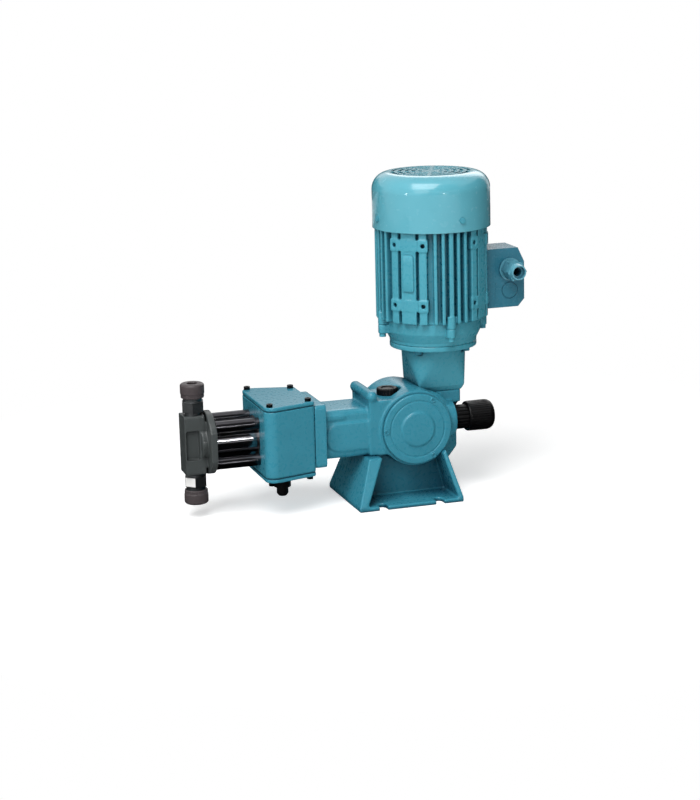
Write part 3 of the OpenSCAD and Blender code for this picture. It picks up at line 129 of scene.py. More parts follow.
def enamel(name, colour, second_colour, painted_shade_colour, gloss, edge, peel, sand, clear=0.08):
    """Gloss paint. Its colour drifts between the first two over some 38 mm. Where ambient occlusion finds the
    surface closed in, in hollows, recesses and under overhangs, it turns to the third as painted shade. Light
    catches the swell of paint that has flowed, peel millimetres across, and under it the mould's sand. That grain
    is about
    0.3 mm, and is drawn 1.6 mm wide so that it shows."""
    cloud_size = 38
    shade_reach = 50
    hollow_share = 0.12
    open_share = 0.72
    grain_size = 1.6
    swell_height = 0.14
    grain_height = 0.05
    material, tree = new_material(name)
    place = add(tree, "ShaderNodeTexCoord").outputs["Object"]
    cloud = add(tree, "ShaderNodeTexNoise", {"Vector": place, "Scale": per_mm(cloud_size), "Detail": 3.0})
    body = add(tree, "ShaderNodeMix",
               {0: cloud.outputs["Fac"], 6: linear(colour), 7: linear(second_colour)}, data_type="RGBA")
    # Painted shade: ambient occlusion darkens the colour towards the third one where the surface is closed in.
    hollow = add(tree, "ShaderNodeAmbientOcclusion", {"Distance": shade_reach * MM}, samples=24)
    open_part = add(tree, "ShaderNodeMapRange",
                    {"Value": hollow.outputs["AO"], "From Min": hollow_share, "From Max": open_share})
    painted_shade_mix = add(tree, "ShaderNodeMix",
                  {0: open_part.outputs[0], 6: linear(painted_shade_colour), 7: body.outputs[2]}, data_type="RGBA")
    round_edge = add(tree, "ShaderNodeBevel", {"Radius": edge * MM}, samples=4)
    skin = add(tree, "ShaderNodeTexNoise", {"Vector": place, "Scale": per_mm(peel), "Detail": 2.0})
    mould = add(tree, "ShaderNodeTexNoise", {"Vector": place, "Scale": per_mm(grain_size), "Detail": 1.0})
    relief = add(tree, "ShaderNodeBump",
                 {"Height": skin.outputs["Fac"], "Distance": swell_height * MM, "Strength": 0.12,
                  "Normal": round_edge.outputs[0]})
    grain = add(tree, "ShaderNodeBump",
                {"Height": mould.outputs["Fac"], "Distance": grain_height * MM, "Strength": sand,
                 "Normal": relief.outputs[0]})
    rough = add(tree, "ShaderNodeMapRange",
                {"Value": skin.outputs["Fac"], "To Min": gloss - 0.05, "To Max": gloss + 0.08})
    shader = add(tree, "ShaderNodeBsdfPrincipled",
                 {"Base Color": painted_shade_mix.outputs[2], "Roughness": rough.outputs[0], "Normal": grain.outputs[0],
                  "Coat Weight": clear, "Coat Roughness": 0.06, "IOR": 1.36})
    finish_material(tree, shader)
    return material


cast_enamel = enamel("gloss_enamel_on_casting", "#348398", "#3C90A5", "#06324A",
                     gloss=0.27, edge=1.0, peel=4.5, sand=0.06)


def dress(obj, material, body, slot, *nodes):
    """Gives a finished piece its material and body, and hides the CAD nodes it stands for."""
    obj.data.materials.clear()
    obj.data.materials.append(material)
    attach(obj, body)
    if nodes:
        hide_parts(*nodes)


def rounded_casting(node, name, cube, passes, kept):
    """A copy of a CAD solid built up of cubes, cube millimetres wide, whose surface is then relaxed: each
    point moves half way to the mean of its neighbours, passes times. That rounds every edge, outside and
    inside, as a casting's are. It is then thinned to the share kept of its faces, and all is baked in."""
    data = frame["nodes"][node].data.copy()
    data.name = name
    shape = bmesh.new()
    shape.from_mesh(data)
    bmesh.ops.remove_doubles(shape, verts=shape.verts, dist=1e-6)
    shape.to_mesh(data)
    shape.free()
    obj = bpy.data.objects.new(name, data)
    bpy.context.scene.collection.objects.link(obj)
    cubes = obj.modifiers.new("cubes", "REMESH")
    cubes.mode = "VOXEL"
    cubes.voxel_size = cube * MM
    relax = obj.modifiers.new("relax", "SMOOTH")
    relax.factor = 0.5
    relax.iterations = passes
    thin = obj.modifiers.new("thin", "DECIMATE")
    thin.ratio = kept
    evaluated = obj.evaluated_get(bpy.context.evaluated_depsgraph_get())
    baked = bpy.data.meshes.new_from_object(evaluated)
    obj.modifiers.clear()
    obj.data = baked
    obj.data.shade_smooth()
    return obj


foot_stand = rounded_casting("foot_stand", "foot_stand_casting", cube=1.1, passes=5, kept=0.5)
dress(foot_stand, cast_enamel, "frame", "enamel", "foot_stand")
gearbox = rounded_casting("gearbox_housing", "gearbox_casting", cube=1.15, passes=6, kept=0.5)
dress(gearbox, cast_enamel, "frame", "enamel", "gearbox_housing")

# Side cover
# Turned from cast iron and enamelled with the gearbox: a rim with a fine groove,
# and a raised middle over the shaft bearing. Three screws hold it.


def rounded(points, radius):
    """A path through the points whose inner corners are bends: each is the quadratic curve with the corner as
    its middle control point, and starts radius, or just under half the shorter side, before it."""
    bend_points = 5
    points = np.array(points, float)
    path = [points[:1]]
    share = np.linspace(0, 1, bend_points)[:, None]
    for before, corner, after in zip(points[:-2], points[1:-1], points[2:]):
        back, on = before - corner, after - corner
        reach = min(radius, 0.48 * np.hypot(*back), 0.48 * np.hypot(*on))
        start = corner + back / np.hypot(*back) * reach
        stop = corner + on / np.hypot(*on) * reach
        path.append((1 - share) ** 2 * start + 2 * share * (1 - share) * corner + share ** 2 * stop)
    path.append(points[-1:])
    return np.vstack(path)


def close_mesh(name, data, sharp=40):
    """The mesh as an object: doubled points are merged, faces are turned outwards, and edges that bend by
    more than sharp degrees are kept crisp."""
    shape = bmesh.new()
    shape.from_mesh(data)
    bmesh.ops.remove_doubles(shape, verts=shape.verts, dist=2e-6)
    bmesh.ops.dissolve_degenerate(shape, edges=shape.edges, dist=1e-7)
    bmesh.ops.recalc_face_normals(shape, faces=shape.faces)
    shape.to_mesh(data)
    shape.free()
    data.shade_smooth()
    data.set_sharp_from_angle(angle=math.radians(sharp))
    obj = bpy.data.objects.new(name, data)
    bpy.context.scene.collection.objects.link(obj)
    return obj


def grid_mesh(name, grids, sharp=40):
    """One mesh of several arrays of places (rows, columns, 3). Four neighbouring places make a face, and the
    last row of each array joins its first."""
    places, faces, start = [], [], 0
    for grid in grids:
        rows, columns = grid.shape[:2]
        index = np.arange(rows * columns).reshape(rows, columns) + start
        index = np.vstack([index, index[:1]])
        cells = np.stack([index[:-1, :-1], index[1:, :-1], index[1:, 1:], index[:-1, 1:]], -1)
        faces.append(cells.reshape(-1, 4))
        places.append(grid.reshape(-1, 3))
        start += rows * columns
    data = bpy.data.meshes.new(name)
    data.from_pydata(np.vstack(places).tolist(), [], np.vstack(faces).tolist())
    return close_mesh(name, data, sharp)


# Each way that a turned piece can face: two directions across its axis, and its axis.
ways = {
    "x": np.array([(0, 1, 0), (0, 0, 1), (1, 0, 0)], float),
    "-y": np.array([(1, 0, 0), (0, 0, 1), (0, -1, 0)], float),
    "z": np.array([(1, 0, 0), (0, 1, 0), (0, 0, 1)], float),
    "-z": np.array([(0, 1, 0), (1, 0, 0), (0, 0, -1)], float),
}


def turned(outline, centre, way, parts, ripple=None):
    """Places of a surface of revolution. A place is the centre, plus the radius times the cosine of its angle
    along the first direction and times the sine along the second, plus the height along the axis. The outline
    gives (radius, height) in millimetres, and ripple(angle, radius, height) may change the radius."""
    angle = np.linspace(0, 2 * np.pi, parts, endpoint=False)[:, None]
    radius = np.broadcast_to(outline[None, :, 0], (parts, len(outline)))
    height = np.broadcast_to(outline[None, :, 1], (parts, len(outline)))
    if ripple is not None:
        radius = ripple(angle, radius, height)
    first, second, axis = ways[way]
    return np.array(centre) + MM * (
        (radius * np.cos(angle))[..., None] * first
        + (radius * np.sin(angle))[..., None] * second
        + height[..., None] * axis
    )


wheel_axis = np.array(next(j["pos_m"] for j in frame["joints"] if j["name"] == "wheel_spin"))
cover_low, cover_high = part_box("side_cover")
cover_radius = (cover_high.x - cover_low.x) / 2 / MM
cover_raise = 2.0
cover_thick = 4.5
cover_face = -cover_low.y / MM - cover_raise
cover_seat = cover_face - cover_thick
spigot_radius = cover_radius - 8
spigot_depth = 3.0
groove_radius = 33.4
groove_half = 1.2
groove_depth = 0.9
middle_radius = 21.5
middle_slope = 2.0
cover_outline = rounded([
    (0, cover_seat - spigot_depth), (spigot_radius, cover_seat - spigot_depth), (spigot_radius, cover_seat),
    (cover_radius, cover_seat), (cover_radius, cover_face),
    (groove_radius + groove_half, cover_face), (groove_radius, cover_face - groove_depth),
    (groove_radius - groove_half, cover_face), (middle_radius, cover_face),
    (middle_radius - middle_slope, cover_face + cover_raise), (0, cover_face + cover_raise),
], 1.6)
side_cover = grid_mesh("side_cover_turned", [turned(cover_outline, wheel_axis, "-y", 128)])
dress(side_cover, cast_enamel, "frame", "enamel", "side_cover")

# Side cover screws
# Low button-head screws, painted over with the cover: the heads stand a little
# proud, and enamel half fills their sockets.
cover_screw_circle = 38.5
cover_screw_turns = np.radians([60, 180, 300])
head_radius = 3.7
head_rise = 1.0
socket_radius = 1.7
socket_floor = cover_face - 0.6
screw_outline = rounded([
    (0, socket_floor), (socket_radius, socket_floor), (socket_radius + 0.1, cover_face + head_rise - 0.1),
    (2.6, cover_face + head_rise), (head_radius - 0.2, cover_face + 0.6), (head_radius, cover_face - 0.3),
    (0, socket_floor - 1.0),
], 0.5)
screw_heads = [
    turned(screw_outline, wheel_axis + cover_screw_circle * MM * np.array([np.cos(turn), 0, -np.sin(turn)]),
           "-y", 24)
    for turn in cover_screw_turns
]
cover_screws = grid_mesh("side_cover_screw_heads", screw_heads)
dress(cover_screws, cast_enamel, "frame", "enamel", "side_cover_screws")

# Rear bearing cap and adapter screws
# The cast cap over the rear bearing, and the screws that hold the motor to its
# adapter, under the same enamel. Their CAD shapes are right as they are.


def keep(material, *nodes):
    """Gives CAD nodes whose shape is right their material."""
    for name in nodes:
        data = frame["nodes"][name].data
        data.materials.clear()
        data.materials.append(material)


keep(cast_enamel, "rear_bearing_cap", "adapter_screws")

# Leakage box
# A cast body that narrows towards the gearbox, between two machined lids on thin
# gaskets. Body and lids are enamelled with the rest. The lid screws are black, which
# also paints the shade in the dimples that hold them.
box_body = rounded_casting("box_body", "leakage_box_casting", cube=0.8, passes=4, kept=0.4)
dress(box_body, cast_enamel, "frame", "enamel", "box_body")
for lid in ("box_top_lid", "box_bottom_lid"):
    lid_casting = rounded_casting(lid, lid + "_casting", cube=0.5, passes=2, kept=0.4)
    dress(lid_casting, cast_enamel, "frame", "enamel", lid)

# Rubber and moulded plastic
# Gaskets and packing rings are moulded rubber; enamel has run over the edges of
# the box's gaskets. Fan and drain plug are black polyamide, the terminal board is
# red-brown phenolic resin. The mould's texture breaks up the gloss of all of them.


def moulded(name, colour, second_colour, gloss, edge, spark):
    """Moulded plastic or rubber: a fine speckle in colour, gloss and relief, and a soft edge. The real
    texture is about 0.2 mm, and is drawn 0.7 mm wide so that it shows."""
    speck_size = 0.7
    speck_height = 0.05
    material, tree = new_material(name)
    place = add(tree, "ShaderNodeTexCoord").outputs["Object"]
    speck = add(tree, "ShaderNodeTexNoise", {"Vector": place, "Scale": per_mm(speck_size), "Detail": 3.0})
    tone = add(tree, "ShaderNodeMix",
               {0: speck.outputs["Fac"], 6: linear(colour), 7: linear(second_colour)}, data_type="RGBA")
    round_edge = add(tree, "ShaderNodeBevel", {"Radius": edge * MM}, samples=4)
    relief = add(tree, "ShaderNodeBump",
                 {"Height": speck.outputs["Fac"], "Distance": speck_height * MM, "Strength": spark,
                  "Normal": round_edge.outputs[0]})
    rough = add(tree, "ShaderNodeMapRange",
                {"Value": speck.outputs["Fac"], "To Min": gloss - 0.06, "To Max": gloss + 0.08})
    shader = add(tree, "ShaderNodeBsdfPrincipled",
                 {"Base Color": tone.outputs[2], "Roughness": rough.outputs[0], "Normal": relief.outputs[0],
                  "IOR": 1.3})
    finish_material(tree, shader)
    return material


black_polyamide = moulded("moulded_black_polyamide", "#060607", "#0B0B0C", gloss=0.36, edge=0.5, spark=0.4)
black_rubber = moulded("moulded_black_rubber", "#101011", "#1A1A1B", gloss=0.75, edge=0.2, spark=0.3)
painted_rubber = moulded("rubber_edge_under_enamel", "#14414F", "#1B5062", gloss=0.45, edge=0.2, spark=0.2)
phenolic = moulded("pressed_phenolic_resin", "#3A1C12", "#4A2517", gloss=0.45, edge=0.3, spark=0.2)
keep(black_rubber, "side_cover_gasket", "packing_rings")
keep(painted_rubber, "box_lid_gaskets")
keep(black_polyamide, "fan", "box_drain_plug")
keep(phenolic, "terminal_board")

# Steel and bronze parts
# Cylinder, plunger, spindle and balls are ground and polished until they mirror
# their surroundings. The tie bars are drawn steel, darker under their film of oil,
# screws are zinc plated or blackened, and the works inside are left as machined.
# The black of the lid screws is partly painted shade for the dimples they sit in.


def bright_metal(name, colour, second_colour, gloss, stretch, score):
    """Bare metal, a little stained in patches. Fine lines break up its gloss: they run along the axis whose
    stretch is small. The real lines are about 0.05 mm, and are drawn 0.5 mm wide so that they show. A metal
    keeps the default index of refraction."""
    line_width = 0.5
    line_depth = 0.02
    stain_size = 14
    edge = 0.35
    material, tree = new_material(name)
    place = add(tree, "ShaderNodeTexCoord").outputs["Object"]
    lines_at = add(tree, "ShaderNodeMapping", {"Vector": place, "Scale": stretch})
    lines = add(tree, "ShaderNodeTexNoise",
                {"Vector": lines_at.outputs[0], "Scale": per_mm(line_width), "Detail": 3.0})
    stain = add(tree, "ShaderNodeTexNoise", {"Vector": place, "Scale": per_mm(stain_size), "Detail": 3.0})
    tone = add(tree, "ShaderNodeMix",
               {0: stain.outputs["Fac"], 6: linear(colour), 7: linear(second_colour)}, data_type="RGBA")
    round_edge = add(tree, "ShaderNodeBevel", {"Radius": edge * MM}, samples=4)
    relief = add(tree, "ShaderNodeBump",
                 {"Height": lines.outputs["Fac"], "Distance": line_depth * MM, "Strength": score,
                  "Normal": round_edge.outputs[0]})
    rough = add(tree, "ShaderNodeMapRange",
                {"Value": lines.outputs["Fac"], "To Min": gloss - 0.04, "To Max": gloss + 0.06})
    shader = add(tree, "ShaderNodeBsdfPrincipled",
                 {"Base Color": tone.outputs[2], "Roughness": rough.outputs[0], "Normal": relief.outputs[0],
                  "Metallic": 1.0})
    finish_material(tree, shader)
    return material


along_x = (0.02, 1, 1)
along_y = (1, 0.05, 1)
along_z = (1, 1, 0.05)
no_way = (1, 1, 1)
polished_steel = bright_metal("polished_round_steel", "#8A8A8E", "#9C9B9F",
                              gloss=0.12, stretch=along_x, score=0.35)
oiled_steel = bright_metal("oiled_bright_drawn_steel", "#434346", "#535256",
                           gloss=0.20, stretch=along_x, score=0.4)
zinc_steel = bright_metal("zinc_plated_steel", "#A9ACAE", "#C4C6C6", gloss=0.26, stretch=no_way, score=0.3)
black_steel_with_painted_shade = bright_metal("blackened_steel", "#1C1C1E", "#29292C", gloss=0.34, stretch=no_way, score=0.3)
machined_steel = bright_metal("machined_steel", "#8C8E90", "#A5A7A8", gloss=0.30, stretch=along_z, score=0.4)
bronze = bright_metal("turned_bronze", "#A5773A", "#BD8F4E", gloss=0.28, stretch=along_y, score=0.4)
keep(polished_steel, "plunger_cylinder", "plunger", "suction_ball", "discharge_ball", "stroke_spindle")
keep(oiled_steel, "tie_bars")
keep(zinc_steel, "stand_screws", "rear_cap_screws", "box_flange_screws", "return_spring", "valve_seats")
# Painted shade: the lid screws' black also stands in for the shade in their dimples.
keep(black_steel_with_painted_shade, "box_lid_screws")
keep(machined_steel, "worm", "worm_bearings", "shaft_bearings", "motor_bearings", "eccentric_shaft",
     "eccentric_ring", "crosshead", "plunger_coupling", "packing_housing", "shaft_coupling", "rotor_shaft",
     "rotor_core", "stator_core")
keep(bronze, "worm_wheel", "guide_bush", "packing_gland")

# Pump head and valve bodies
# The head is cast, under a thin dark grey satin coat through which the mould's
# sand still shows. The valve bodies are turned, and phosphated to a dark grey.
head_coat = enamel("satin_grey_coat_on_casting", "#3C4141", "#4A4F4F", "#0F1111",
                   gloss=0.34, edge=0.8, peel=1.6, sand=0.5)
pump_head = rounded_casting("pump_head", "pump_head_casting", cube=0.7, passes=4, kept=0.6)
dress(pump_head, head_coat, "frame", "grey_iron", "pump_head")
short_along_z = (1, 1, 0.1)
valve_steel = bright_metal("turned_phosphated_steel", "#66696A", "#75787A",
                           gloss=0.36, stretch=short_along_z, score=0.3)
keep(valve_steel, "suction_valve_body", "discharge_valve_body")

# Union nuts
# Turned caps over the two pipe unions, in a brown-grey coat, with shallow grip
# hollows near the joint and a chamfer at the pipe end.
nut_coat = enamel("brown_grey_coat_on_steel", "#423C3D", "#4C4547", "#1E1A1B",
                  gloss=0.40, edge=0.7, peel=1.6, sand=0.5)
nut_low, nut_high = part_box("union_nuts")
nut_radius = (nut_high.x - nut_low.x) / 2 / MM
nut_axis = np.array([(nut_low.x + nut_high.x) / 2, 0, 0])
nut_length = 17.0
nut_bore = 6.0
nut_bore_floor = nut_length - 6
nut_mouth = 11.1
nut_mouth_depth = 5.6
nut_chamfer = 1.8
grip_end = 5.4
grip_sink = 0.5
grip_ease = 0.8
nut_outline = rounded([
    (nut_bore, nut_bore_floor), (nut_bore, nut_length), (nut_radius - nut_chamfer, nut_length),
    (nut_radius, nut_length - nut_chamfer), (nut_radius, grip_end),
    (nut_radius - grip_sink, grip_end - grip_ease), (nut_radius - grip_sink, grip_ease),
    (nut_radius - 1.2, 0), (nut_mouth, 0), (nut_mouth, nut_mouth_depth), (nut_bore, nut_mouth_depth + 0.2),
    (nut_bore, nut_bore_floor),
], 0.9)


def grip(angle, radius, height):
    """The outer radius less 0.35 mm times the cube of (1 + cos(20 angle)) / 2, which makes twenty shallow
    hollows. They run out between 3.7 and 5.2 mm from the cap's low end."""
    hollow = 0.35 * (0.5 + 0.5 * np.cos(20 * angle)) ** 3
    outside = radius > nut_mouth + 0.9
    return radius - hollow * np.clip((5.2 - height) / 1.5, 0, 1) * outside


upper_nut = turned(nut_outline, nut_axis + [0, 0, nut_high.z - nut_length * MM], "z", 120, grip)
lower_nut = turned(nut_outline, nut_axis + [0, 0, nut_low.z + nut_length * MM], "-z", 120, grip)
union_nuts = grid_mesh("union_nut_caps", [upper_nut, lower_nut])
dress(union_nuts, nut_coat, "frame", "brown_grey_steel", "union_nuts")

# Sticker on the lower valve body
# A small white vinyl film on one flat of the hexagon, a tenth of a millimetre
# thick, a little greyer in patches. It stays blank.
white_film, tree = new_material("white_vinyl_film")
film_at = add(tree, "ShaderNodeTexCoord").outputs["Object"]
film_noise = add(tree, "ShaderNodeTexNoise", {"Vector": film_at, "Scale": per_mm(5), "Detail": 2.0})
film_tone = add(tree, "ShaderNodeMix",
                {0: film_noise.outputs["Fac"], 6: linear("#E4E4E2"), 7: linear("#F2F2F0")}, data_type="RGBA")
film = add(tree, "ShaderNodeBsdfPrincipled", {"Base Color": film_tone.outputs[2], "Roughness": 0.45})
finish_material(tree, film)
hex_corner = 14.0
hex_flat = hex_corner * math.cos(math.radians(30))
sticker_turn = math.radians(-133.5)
sticker_half = 6.4
sticker_tall = 10.4
sticker_rise = 21.3
sticker_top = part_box("suction_valve_body")[0].z / MM + sticker_rise
sticker_out = np.array([math.cos(sticker_turn), math.sin(sticker_turn), 0])
sticker_side = np.array([-math.sin(sticker_turn), math.cos(sticker_turn), 0])
sticker_corners = np.array([(-1, 0), (1, 0), (1, 1), (-1, 1)])
sticker_places = np.vstack([
    nut_axis + MM * (
        sticker_out * (hex_flat + lift)
        + sticker_side * sticker_half * sticker_corners[:, :1]
        + np.array([0, 0, 1]) * (sticker_top - sticker_tall * sticker_corners[:, 1:])
    )
    for lift in (0.02, 0.14)
])
sticker_faces = [(0, 1, 2, 3), (4, 5, 6, 7), (0, 1, 5, 4), (1, 2, 6, 5), (2, 3, 7, 6), (3, 0, 4, 7)]
sticker_mesh = bpy.data.meshes.new("valve_label")
sticker_mesh.from_pydata(sticker_places.tolist(), [], sticker_faces)
sticker = close_mesh("valve_label", sticker_mesh)
dress(sticker, white_film, "frame", "grey_iron")

# Filler plug
# Black moulded plug with a ribbed rim and a dished top, screwed into the boss on
# top of the gearbox.
plug_low, plug_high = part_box("filler_plug")
plug_radius = (plug_high.x - plug_low.x) / 2 / MM
plug_height = 8
plug_dish = 1.4
plug_stem = plug_radius - 3
plug_stem_depth = 3.9
plug_axis = np.array([(plug_low.x + plug_high.x) / 2, 0, plug_high.z - plug_height * MM])
plug_outline = rounded([
    (0, -plug_stem_depth), (plug_stem, -plug_stem_depth), (plug_stem, 0), (plug_radius, 0),
    (plug_radius, plug_height - 1), (plug_radius - 1, plug_height), (plug_radius - 4.5, plug_height),
    (plug_radius - 5.5, plug_height - plug_dish), (0, plug_height - plug_dish),
], 0.8)


def plug_ribs(angle, radius, height):
    """The radius plus 0.35 mm times the cosine of 24 times the angle, on the rim alone: 24 grip ribs."""
    on_rim = (radius > plug_radius - 1.5) * (height > 0.5)
    return radius + 0.35 * np.cos(24 * angle) * on_rim


plug = grid_mesh("filler_plug_moulded", [turned(plug_outline, plug_axis, "z", 192, plug_ribs)])
dress(plug, black_polyamide, "frame", "black_plastic", "filler_plug")

# Stroke barrel
# Black moulded sleeve on the gearbox. Its deep flutes run along it, and the
# stroke knob turns over its outer end.
barrel_low, barrel_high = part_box("stroke_barrel")
barrel_radius = (barrel_high.z - barrel_low.z) / 2 / MM
barrel_end = barrel_high.x / MM
barrel_start = barrel_low.x / MM + 5
barrel_bore = 5.1
barrel_neck = barrel_radius - 2
neck_end = barrel_start - 4.9
barrel_axis = np.array([0, 0, wheel_axis[2]])
barrel_outline = rounded([
    (barrel_bore, barrel_end), (barrel_radius - 1, barrel_end), (barrel_radius, barrel_end - 1),
    (barrel_radius, barrel_start), (barrel_neck, barrel_start), (barrel_neck, neck_end),
    (barrel_bore, neck_end), (barrel_bore, barrel_end),
], 0.7)


def barrel_flutes(angle, radius, height):
    """The outer radius less 1.5 mm times (1 + cos(18 angle)) / 2 to the sixth power: eighteen broad ribs with
    narrow grooves between them, which run out over the first 2 mm."""
    groove = 1.5 * (0.5 + 0.5 * np.cos(18 * angle)) ** 6
    return radius - groove * (radius > barrel_radius - 0.6) * np.clip((height - barrel_start) / 2, 0, 1)


barrel = grid_mesh("stroke_barrel_moulded", [turned(barrel_outline, barrel_axis, "x", 288, barrel_flutes)])
dress(barrel, black_polyamide, "frame", "black_plastic", "stroke_barrel")

# Stroke knob
# Black moulded hand knob with a finely ribbed grip and a full-rounded end. It
# turns, and travels along the barrel with its screw.
knob_low, knob_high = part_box("stroke_knob")
knob_radius = (knob_high.z - knob_low.z) / 2 / MM
knob_start = knob_low.x / MM
knob_end = knob_high.x / MM
knob_bore = barrel_radius + 0.4
knob_bore_depth = 23
knob_round = 8.0
bend = np.radians(np.linspace(0, 90, 12))
knob_outline = np.vstack([
    [(knob_bore, knob_start + knob_bore_depth)],
    rounded([(knob_bore, knob_start + 20), (knob_bore, knob_start), (knob_radius - 0.4, knob_start),
             (knob_radius, knob_start + 2), (knob_radius, knob_end - knob_round - 2)], 1.2),
    np.stack([knob_radius - knob_round + knob_round * np.cos(bend),
              knob_end - knob_round + knob_round * np.sin(bend)], -1),
    [(knob_radius - 10, knob_end), (0, knob_end)],
])


def knob_ribs(angle, radius, height):
    """The outer radius plus 0.28 mm times the cosine of 40 times the angle: forty fine ribs, which fade out
    over 2 mm at the open end and over 3 mm before the rounded one."""
    along = np.clip((height - knob_start - 2) / 2, 0, 1) * np.clip((knob_end - 6 - height) / 3, 0, 1)
    return radius + 0.28 * np.cos(40 * angle) * along * (radius > knob_radius - 1.5)


knob = grid_mesh("stroke_knob_moulded", [turned(knob_outline, barrel_axis, "x", 320, knob_ribs)])
knob_body = next(b for b, nodes in frame["record"]["behaviour"]["bodies"].items() if "stroke_knob" in nodes)
dress(knob, black_polyamide, knob_body, "black_plastic", "stroke_knob")

# Motor adapter
# Cast aluminium lantern between gearbox and motor: square at its foot, round under
# the motor's face flange, with four broad corners between. It has the motor's
# paint, which is a shade paler than the pump's.
motor_enamel = enamel("gloss_enamel_on_aluminium", "#459AAD", "#50A5B7", "#154B60",
                      gloss=0.27, edge=0.8, peel=4.5, sand=0.05)
adapter = rounded_casting("motor_adapter", "motor_adapter_casting", cube=0.9, passes=2, kept=0.5)
dress(adapter, motor_enamel, "frame", "enamel", "motor_adapter")

# Motor castings
# Die-cast shell with upright cooling fins, flat panels with foot pads between
# them, and the lower shield that closes it, held by screws through its lugs.
stator = rounded_casting("stator_housing", "stator_shell_casting", cube=0.85, passes=2, kept=0.35)
dress(stator, motor_enamel, "frame", "enamel", "stator_housing")
shield = rounded_casting("drive_end_shield", "lower_shield_casting", cube=0.9, passes=3, kept=0.4)
dress(shield, motor_enamel, "frame", "enamel", "drive_end_shield")
keep(motor_enamel, "fan_end_shield", "shield_screws", "cowl_screws")

# Terminal box and cable gland
# Die-cast box and cover with crisp chamfers and a closed knock-out. Their enamel is
# painted darker than the shell's, as painted shade for the motor's shadow on the box.
# The gland's two hexagons stay sharp under the coat.
# Painted shade: the box's darker blue stands in for the shadow the motor casts on it.
box_enamel_with_painted_shade = enamel("gloss_enamel_on_die_casting", "#2B7086", "#357D93", "#0A3C54",
                     gloss=0.25, edge=0.6, peel=5.0, sand=0.05)
keep(box_enamel_with_painted_shade, "terminal_box_base", "terminal_box_cover")
gland_enamel = enamel("gloss_enamel_on_brass", "#5A9FB2", "#66AABC", "#1E566C",
                      gloss=0.20, edge=0.3, peel=5.0, sand=0.05, clear=0.3)
keep(gland_enamel, "cable_gland")

# Nameplate
# A bare pressed plate with rounded upper corners, riveted to the panel between
# the foot pads and painted over with the motor. It stays blank.
motor_axis = np.array(next(j["pos_m"] for j in frame["joints"] if j["name"] == "rotor_spin")) * [1, 1, 0]
panel_reach = 65.0
plate_turn = math.radians(225)
plate_half = 7.2
plate_tall = 43
plate_foot = 249
plate_corner = 2
plate_sink = 0.3
plate_out = np.array([math.cos(plate_turn), math.sin(plate_turn), 0])
plate_side = np.array([-math.sin(plate_turn), math.cos(plate_turn), 0])
plate_edge = rounded([
    (0, 0), (plate_half, 0), (plate_half, plate_tall - plate_corner),
    (plate_half - plate_corner, plate_tall), (0, plate_tall),
], 2.2)
plate_edge = np.vstack([plate_edge, plate_edge[-2:0:-1] * [-1, 1]])
plate_middle = np.array([0, plate_tall / 2])


def plate_ring(share, lift):
    """The plate's edge, shrunk to this share about the plate's middle and lifted off the panel by lift."""
    flat = (plate_edge - plate_middle) * share + plate_middle
    return motor_axis + [0, 0, plate_foot * MM] + MM * (
        plate_out * (panel_reach - plate_sink + lift) + flat[:, :1] * plate_side + flat[:, 1:] * [0, 0, 1])


plate_rings = [(0.0, 0.0), (0.9, 0.0), (1.0, 0.0), (1.0, 2.0), (0.93, 2.5), (0.55, 2.5), (0.0, 2.5)]
plate_places = np.stack([plate_ring(share, lift) for share, lift in plate_rings], 1)
nameplate = grid_mesh("blank_nameplate", [plate_places], sharp=50)
dress(nameplate, motor_enamel, "frame", "enamel")

# Fan cowl
# Deep-drawn sheet steel over the fan, with a generous radius at its shoulder and
# a grille of radial slots pressed into its top. Paint lies smoothest on it. Its colour
# is a shade paler than on the rest of the motor: painted sheen for a broad lamp's soft reflection.
# Painted sheen: the paler blue stands in for the soft reflection of a broad lamp on the cowl.
sheet_enamel_with_painted_sheen = enamel("gloss_enamel_on_sheet", "#58A8B9", "#62B0C0", "#0A3F58",
                      gloss=0.24, edge=0.5, peel=6.0, sand=0.05, clear=0.5)
keep(sheet_enamel_with_painted_sheen, "fan_cowl")

# Floor and room
# White paper on the floor, which fades to pure white away from the pump, in a
# white room. Only the camera and the gloss see that white: to all other rays the
# paper is plain and the room is dim, so that it is the lamps that light the pump.
floor_half = 6.0
fade_start = 0.32
fade_end = 0.7
paper_glow = 0.5
floor_mesh = bpy.data.meshes.new("floor")
floor_mesh.from_pydata([(-floor_half, -floor_half, 0), (floor_half, -floor_half, 0),
                        (floor_half, floor_half, 0), (-floor_half, floor_half, 0)], [], [(0, 1, 2, 3)])
floor = bpy.data.objects.new("floor", floor_mesh)
bpy.context.scene.collection.objects.link(floor)
white_floor, tree = new_material("white_paper_floor")
seen = add(tree, "ShaderNodeLightPath")
paper = add(tree, "ShaderNodeBsdfDiffuse", {"Color": linear("#EDEDED")})
glow = add(tree, "ShaderNodeEmission", {"Color": (1, 1, 1, 1), "Strength": paper_glow})
both = add(tree, "ShaderNodeAddShader", {0: paper.outputs[0], 1: glow.outputs[0]})
far_white = add(tree, "ShaderNodeEmission", {"Color": (1, 1, 1, 1), "Strength": 1.0})
floor_at = add(tree, "ShaderNodeTexCoord").outputs["Object"]
from_pump = add(tree, "ShaderNodeVectorMath", {0: floor_at}, operation="LENGTH")
fade = add(tree, "ShaderNodeMapRange",
           {"Value": from_pump.outputs["Value"], "From Min": fade_start, "From Max": fade_end})
sweep = add(tree, "ShaderNodeMixShader", {0: fade.outputs[0], 1: both.outputs[0], 2: far_white.outputs[0]})
watched = add(tree, "ShaderNodeMath",
              {0: seen.outputs["Is Camera Ray"], 1: seen.outputs["Is Glossy Ray"]}, operation="MAXIMUM")
shown = add(tree, "ShaderNodeMixShader", {0: watched.outputs[0], 1: paper.outputs[0], 2: sweep.outputs[0]})
finish_material(tree, shown)
floor_mesh.materials.append(white_floor)

